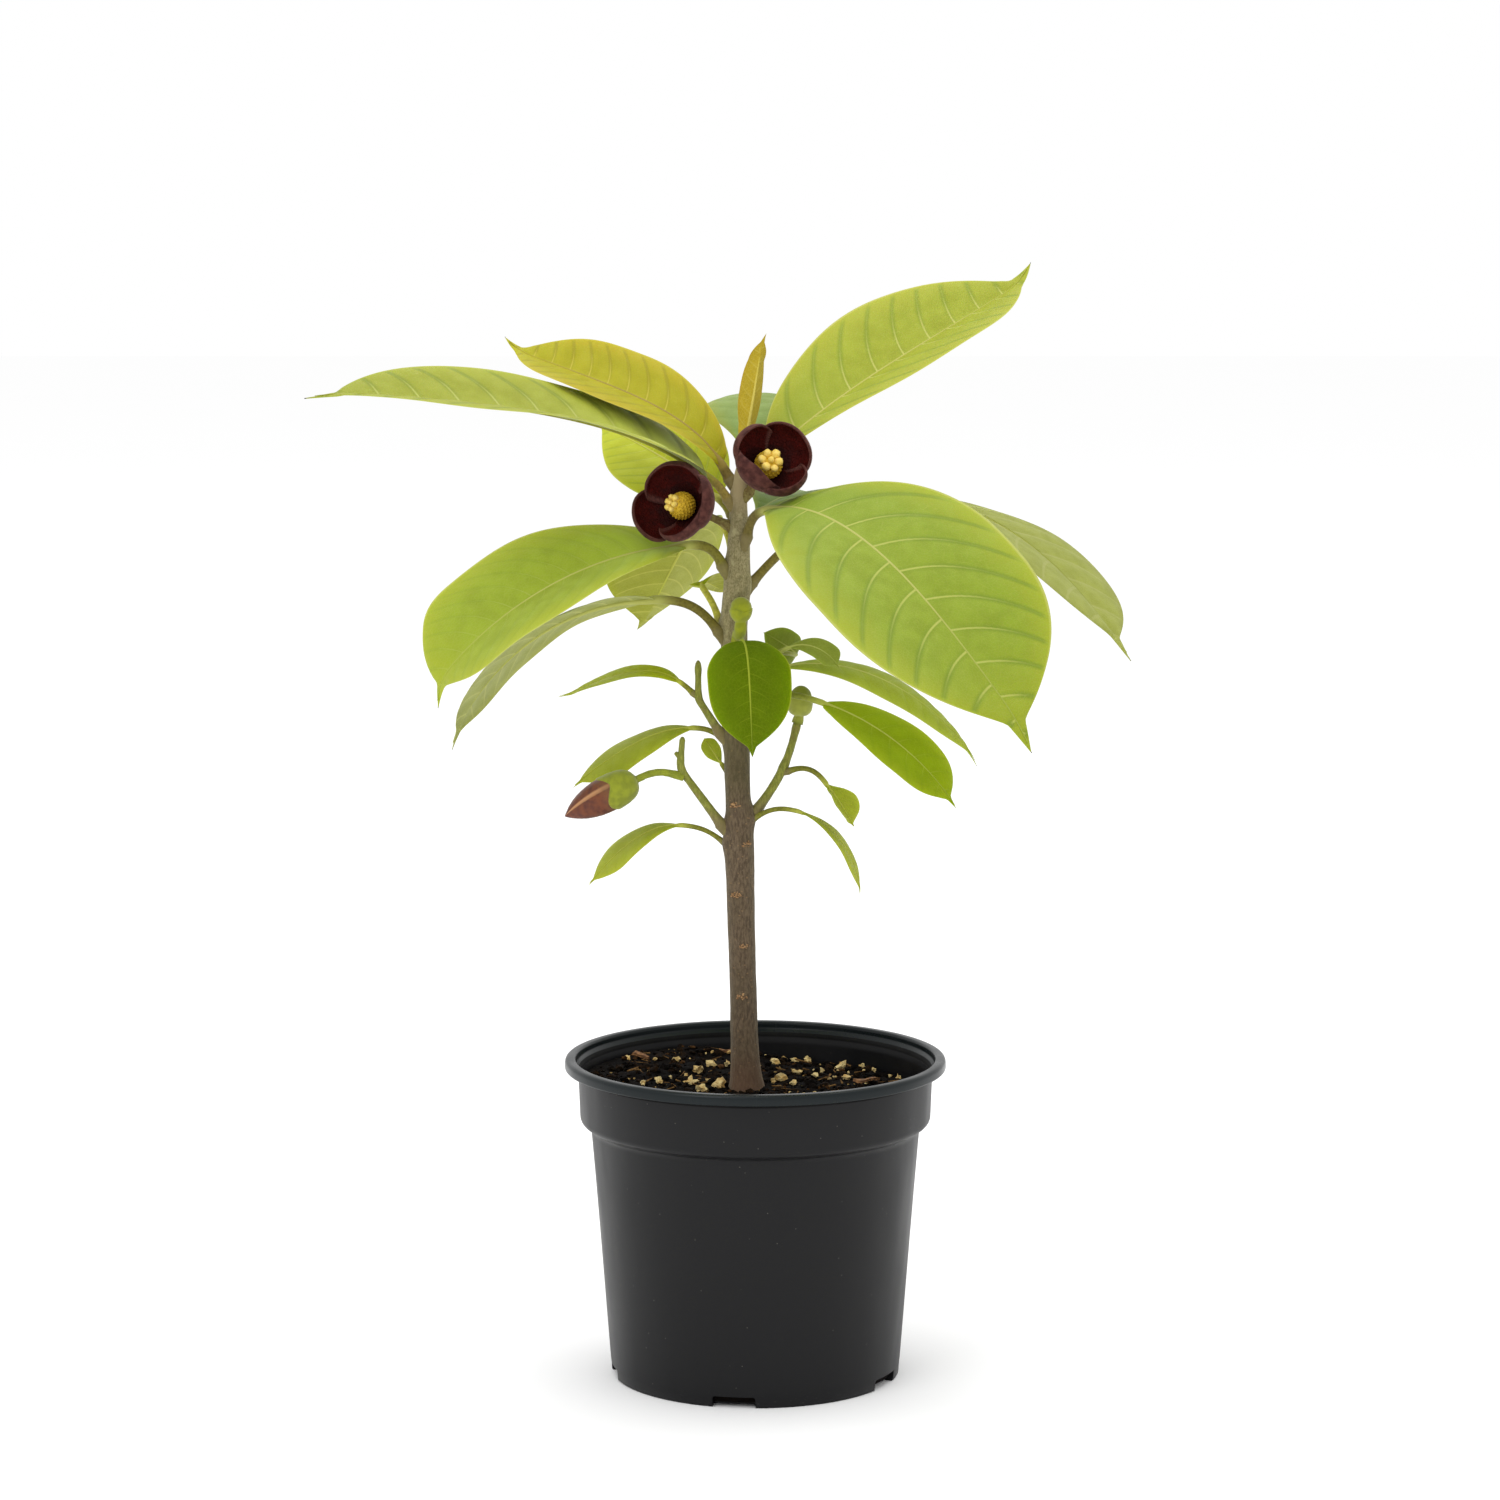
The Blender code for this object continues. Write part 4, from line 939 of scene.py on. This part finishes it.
gold = Finish("olive_gold_stamens", {"Specular IOR Level": 0.35})
gold_cloud = gold.cloud(1.4, detail=3.0)
gold.wear(gold.blend(gold_cloud.ease(0.3, 0.7), (182, 144, 12), (216, 180, 44)), gold_cloud, 0.55, 0.75,
          gold.relief(gold.cloud(0.4), 0.1))
cream = Finish("cream_carpels", {"Specular IOR Level": 0.4, "Subsurface Weight": 0.2,
                                 "Subsurface Radius": (1, 0.8, 0.3), "Subsurface Scale": 0.001})
cream_cloud = cream.cloud(1.2)
cream.wear(cream.blend(cream_cloud.ease(0.3, 0.7), (224, 192, 80), (240, 212, 116)), cream_cloud, 0.45, 0.6,
           cream.relief(cream.cloud(0.5), 0.08))

# Share up a petal, then the cup's radius and height there as shares of their full size
cup_curve = (
    (0, 0.06, 0.0), (0.15, 0.34, 0.05), (0.4, 0.76, 0.28), (0.65, 0.97, 0.6), (0.84, 1.0, 0.84),
    (1, 0.95, 1.03),
)


def opened(name, at, heading, rise, reach, face, climb, radius, depth, petals, nod, tip_size):
    """A flower. A petal has a turn round the cup, half a spread, a size, a lean, a gap and a tilt."""
    turn = (face - heading + 180) % 360 - 180

    def bearing(s):
        share = smooth(s / reach)
        return heading + turn * share, rise + (climb - rise) * share

    foot, root = beside("trunk", at, heading, rise, 1.6)
    notes = grown(foot, bearing, [reach * n / 20 for n in range(21)])
    base, ahead, right, up = notes[-1]
    body = bmesh.new()
    share = body.verts.layers.float.new("along")
    radii = [1.6 + 0.9 * math.exp(-n / 2) + 1.3 * smooth((n - 16) / 4) for n in range(21)]
    piped(body, notes, radii, 16, root, 3)

    inner = radius - 1.6

    def cupped(centre, spread, height, gauge, size, lean, gap, tilt, side, finish):
        """One skin of a petal or sepal, side 1 outside and -1 inside."""
        def spot(row, column):
            w = side * (1 - 2 * column)
            s = height * row * (1 - 0.3 * abs(w) ** 2.4)
            cup_radius, cup_height = eased(cup_curve, s)
            on, off = eased(cup_curve, min(s + 0.02, 1.0)), eased(cup_curve, max(s - 0.02, 0.0))
            slope = Vector((on[0] - off[0], (on[1] - off[1]) * depth / inner)).normalized()
            a = math.radians(centre + spread * w)
            ray = right * math.cos(a) + up * math.sin(a)
            normal = ray * slope.y - ahead * slope.x
            thick = gauge * math.sqrt(max(0.0, 1 - abs(w) ** 6)) * math.sqrt(max(0.0, 1 - row ** 8))
            thick = thick * min(1, row / 0.08)
            pinch = 1 - 0.12 * abs(w) ** 2.6 * smooth(s * 1.6) * (finish < 2)
            pinch = pinch * (1 - lean * s * s * (1 - w * w)) * size
            lay = (tilt * w + gap) * min(1, s * 3)
            wave = 0.45 * noise.noise(Vector((a * 2, s * 3, at))) * s
            flare = -0.8 * smooth((row - 0.8) / 0.2) * (finish < 2)
            place = base + ray * (cup_radius * inner * pinch + lay + flare) + ahead * cup_height * depth
            return place + normal * (side * thick / 2 + wave)

        rows, columns = 28, 30
        points = woven(body, rows, columns, spot, finish)
        for k, point in enumerate(points):
            w = 2 * (k % (columns + 1)) / columns - 1
            row = (k // (columns + 1)) / rows
            point[share] = max(row, 0.4 + 0.6 * abs(w) if row > 0.35 else row)

    for side in (1, -1):
        for centre, spread, size, lean, gap, tilt in petals:
            cupped(centre, spread, 1.0, 1.9, size, lean, gap, tilt, side, (1 + side) // 2)
        for n in range(3):
            cupped(petals[0][0] + 60 + 120 * n, 40, 0.34, 0.9, 1.0, 0.0, 1.8, 0.0, side, 2)
    finishes = [velvet, dusk, sepal_green, stalk_brown]
    settled("open_" + name, body, [name], finishes, crease=180, weld=0.003)

    seat = base + ahead * 5.7
    pole, left, over = axes(*nod)
    stand = Matrix((over, left, pole)).transposed()
    girth = Vector((6.0, 6.0, 5.8))
    ball = bmesh.new()
    core = bmesh.ops.create_uvsphere(ball, u_segments=24, v_segments=16, radius=1.0)["verts"]
    for point in core:
        point.co = seat + stand @ (point.co * girth)
    heads, golden_angle = 190, 2.39996
    for k in range(heads):
        z = 1 - 1.86 * (k + 0.5) / heads
        ring = math.sqrt(1 - z * z)
        swing = k * golden_angle
        out = Vector((ring * math.cos(swing), ring * math.sin(swing), z))
        lump = bmesh.ops.create_icosphere(ball, subdivisions=1, radius=1.0)["verts"]
        tilt = out.to_track_quat("Z", "Y").to_matrix()
        for point in lump:
            point.co = seat + stand @ (out * girth + tilt @ (point.co * Vector((0.66, 0.52, 0.36))))
    settled("stamen_ball_" + name[7:], ball, [name + "_centre"], [gold], crease=60)
    knobs = bmesh.new()
    for k in range(7):
        swing = math.radians(60 * k + 20)
        lean = 0.0 if k == 6 else 0.35 * tip_size + 0.04 * (k % 2)
        out = Vector((math.sin(lean) * math.cos(swing), math.sin(lean) * math.sin(swing), math.cos(lean)))
        lump = bmesh.ops.create_icosphere(knobs, subdivisions=2, radius=1.0)["verts"]
        tilt = out.to_track_quat("Z", "Y").to_matrix()
        size = Vector((1.12, 1.12, 1.5)) * tip_size * (0.75 if k == 6 else 0.92 + 0.08 * (k % 3))
        for point in lump:
            dent = 1 - 0.2 * math.exp(-((point.co.x / 0.3) ** 2)) * max(0, point.co.z)
            point.co = seat + stand @ (out * (girth.z + 0.5) + tilt @ (point.co * size * dent))
    settled("carpel_tips_" + name[7:], knobs, [], [cream], crease=180)


opened("flower_upper", 396.5, -28, 55, 15.8, -73, 28, 18.4, 17, (
    (50, 50, 1.03, 0, -0.4, -1), (145, 64, 1.0, 0, 1, 0), (241, 52, 0.95, -0.1, 0.4, 0.5),
    (322, 62, 1.0, 0.3, 0.3, 0.8),
), (-78, 24), 1.7)
opened("flower_left", 382, 186, 27, 22.5, 240, 15, 19.0, 17, (
    (71.5, 69, 1.07, 0, -1, 0), (332.5, 49, 1.08, 0, 1, 0), (236, 66, 0.95, -0.08, -0.6, 0),
    (173.5, 52, 0.98, 0, 1.2, 0),
), (215, 16), 1.25)


# The buds
# One long flower bud whose maroon petals show beyond its green sepals, a small round one still shut in green
# felt at the end of a twig, and a green one against the stem.
maroon = Finish("maroon_bud", {"Specular IOR Level": 0.35, "Sheen Weight": 0.2, "Sheen Roughness": 0.5})
bud_share = maroon.reading("along")
bud_cloud = maroon.cloud(2.4, detail=4.0)
bud_seam = maroon.reading("across")
bud_colour = maroon.blend(bud_cloud.ease(0.3, 0.7), (84, 38, 22), (114, 61, 34))
bud_colour = bud_colour.over(bud_seam.ease(0.3, 0.0) * 0.85, (196, 144, 98))
bud_colour = bud_colour.over(bud_share.ease(0.5, 0.36) * 0.5, (120, 84, 50))
maroon.wear(bud_colour, bud_cloud, 0.5, 0.7, maroon.relief(bud_cloud, 0.2))


# How far the seams and the tips of the sepals are turned round a bud, in radians
bud_twist = 0.6


def bud_green(name, low, high, crown, start):
    finish = Finish(name, {"Specular IOR Level": 0.3, "Sheen Weight": 0.25, "Sheen Roughness": 0.5})
    felt = finish.cloud(3.0, detail=2.0)
    colour = finish.blend(felt.ease(0.3, 0.7), low, high)
    colour = colour.over(finish.reading("along").ease(start, start + 0.3), crown)
    finish.wear(colour, felt, 0.6, 0.8, finish.relief(finish.cloud(0.8), 0.06))
    return finish


def budded(name, finishes, stem, at, heading, rise, end, reach, stalk, length, radius, widest, neck, point,
           hood):
    """A bud on its stalk. Its sepals clasp the petals as far as hood, and their three tips reach further."""
    def bearing(s):
        return heading, rise + (end - rise) * smooth(s / reach)

    foot, root = beside(stem, at, heading, rise, stalk)
    shares = [n / 44 for n in range(45)]
    stops = [reach * n / 12 for n in range(12)] + [reach + length * t for t in shares]
    notes = grown(foot, bearing, stops)
    body = bmesh.new()
    along = body.verts.layers.float.new("along")
    across = body.verts.layers.float.new("across")

    def girth(t):
        if t <= 0:
            return stalk
        if t < widest:
            swell = (1 - (1 - t / widest) ** 2.6) ** neck
        else:
            swell = max(1 - ((t - widest) / (1 - widest)) ** 2.2, 0.0) ** point
        return max(stalk * (1 - t), radius * swell, 0.25)

    def wrapped(finish, start, far, extra, seam):
        """A skin round the bud from one note to another, its far edge at far(turn)."""
        rows = 70

        def spot(row, column):
            turn = -2 * math.pi * column
            last = far(turn)
            s = start + (last - start) * min(row / 0.94, 1.0)
            n = next((k for k in range(len(stops) - 1) if stops[k + 1] >= s), len(stops) - 2)
            share = min(max((s - stops[n]) / (stops[n + 1] - stops[n]), 0.0), 1.0)
            place = notes[n][0].lerp(notes[n + 1][0], share)
            right, up = notes[n][2], notes[n][3]
            t = (s - reach) / length
            size = girth(t) + extra
            size *= 1 - seam * max(0.0, math.cos(1.5 * turn - bud_twist) ** 2 - 0.75) * 4 * smooth(t / 0.2)
            size += 0.16 * noise.noise(Vector((math.cos(turn) * 2, math.sin(turn) * 2, s / 2)))
            size += (0.2 if name == "bud_front" else 0.7) * math.exp(-s / 1.6)
            if row > 0.94:
                size *= (1 - row) / 0.06
                place = place - notes[n][1] * 0.5 * (row - 0.94) / 0.06
            if row < 0.03 and start == 0:
                place = root[1]
            if row == 0:
                size = 0
            return place + (right * math.cos(turn) + up * math.sin(turn)) * size

        columns = 36
        points = woven(body, rows, columns, spot, finish)
        for k, point in enumerate(points):
            row, column = (k // (columns + 1)) / rows, (k % (columns + 1)) / columns
            turn = -2 * math.pi * column
            point[along] = (start + (far(turn) - start) * row - reach) / length
            point[across] = 1 - abs(math.cos(1.5 * turn - bud_twist)) ** 8

    def sepal_edge(turn):
        return reach + length * (hood + 0.12 * abs(math.sin(1.5 * turn - bud_twist)) ** 1.5)

    wrapped(0, reach * 0.5, lambda turn: reach + length, 0.0, 0.07)
    wrapped(1, 0.0, sepal_edge, 0.4, 0.04)
    settled("shut_" + name, body, [name], finishes, crease=180, weld=0.003)


leafy_sepal = bud_green("leafy_sepal", (124, 132, 24), (144, 152, 36), (134, 124, 34), 0.3)
felted_sepal = bud_green("felted_sepal", (142, 148, 52), (158, 162, 66), (122, 130, 26), 0.42)
stem_sepal = bud_green("stem_sepal", (126, 134, 4), (146, 152, 14), (130, 136, 8), 0.6)
budded("bud_left", [maroon, leafy_sepal], "twig_left_lower", 29, 190, 17, -26, 19, 1.2, 35.5, 8.1,
       0.40, 0.4, 0.85, 0.34)
budded("bud_right", [felted_sepal, felted_sepal], "twig_right", 44.5, 8, 74, 84, 2, 1.6, 13.6, 5.3,
       0.45, 0.4, 0.5, 0.6)
budded("bud_front", [stem_sepal, stem_sepal], "trunk", 334, -74, 12, 88, 6.5, 2.3, 12.6, 4.8,
       0.6, 1.0, 0.55, 0.5)


# The studio
# A plain pale floor under soft white light from all round, a little stronger from the upper left, and a
# long lens at the height of the leaves that looks slightly down.
studio_white = Finish("studio_white", {"Specular IOR Level": 0.0, "Roughness": 0.9})
floor_tone = studio_white.blend(studio_white.cloud(400), (0.98, 0.98, 0.98, 1), (0.985, 0.985, 0.985, 1))
studio_white.feed({"Base Color": floor_tone})
floor_body = bmesh.new()
bmesh.ops.create_grid(floor_body, x_segments=1, y_segments=1, size=9.0)
floor = shown("studio_floor", floor_body)
floor.data.materials.append(studio_white.material)

sky = bpy.data.worlds.new("white_surround")
sky.use_nodes = True
sky.node_tree.nodes["Background"].inputs["Color"].default_value = (1, 1, 1, 1)
sky.node_tree.nodes["Background"].inputs["Strength"].default_value = 1.0
bpy.context.scene.world = sky
for name, spot, power, size in (
    ("key_light", (-1.3, -1.7, 2.1), 14, 1.6), ("top_light", (0.2, 0.3, 2.6), 30, 2.6),
):
    lamp = bpy.data.lights.new(name, "AREA")
    lamp.energy = power
    lamp.shape = "DISK"
    lamp.size = size
    light = bpy.data.objects.new(name, lamp)
    light.location = spot
    light.rotation_euler = (Vector((0, 0, 0.25)) - Vector(spot)).to_track_quat("-Z", "Y").to_euler()
    bpy.context.scene.collection.objects.link(light)

lens = bpy.data.cameras.new("studio_camera")
lens.sensor_width = 36
lens.lens = 110.26
lens.clip_end = 50
camera = bpy.data.objects.new("studio_camera", lens)
camera.location = (-0.0024, -2.0153, 0.5579)
camera.rotation_euler = (math.radians(82.2), 0, 0)
bpy.context.scene.collection.objects.link(camera)
bpy.context.scene.camera = camera
bpy.context.scene.view_settings.view_transform = "Standard"
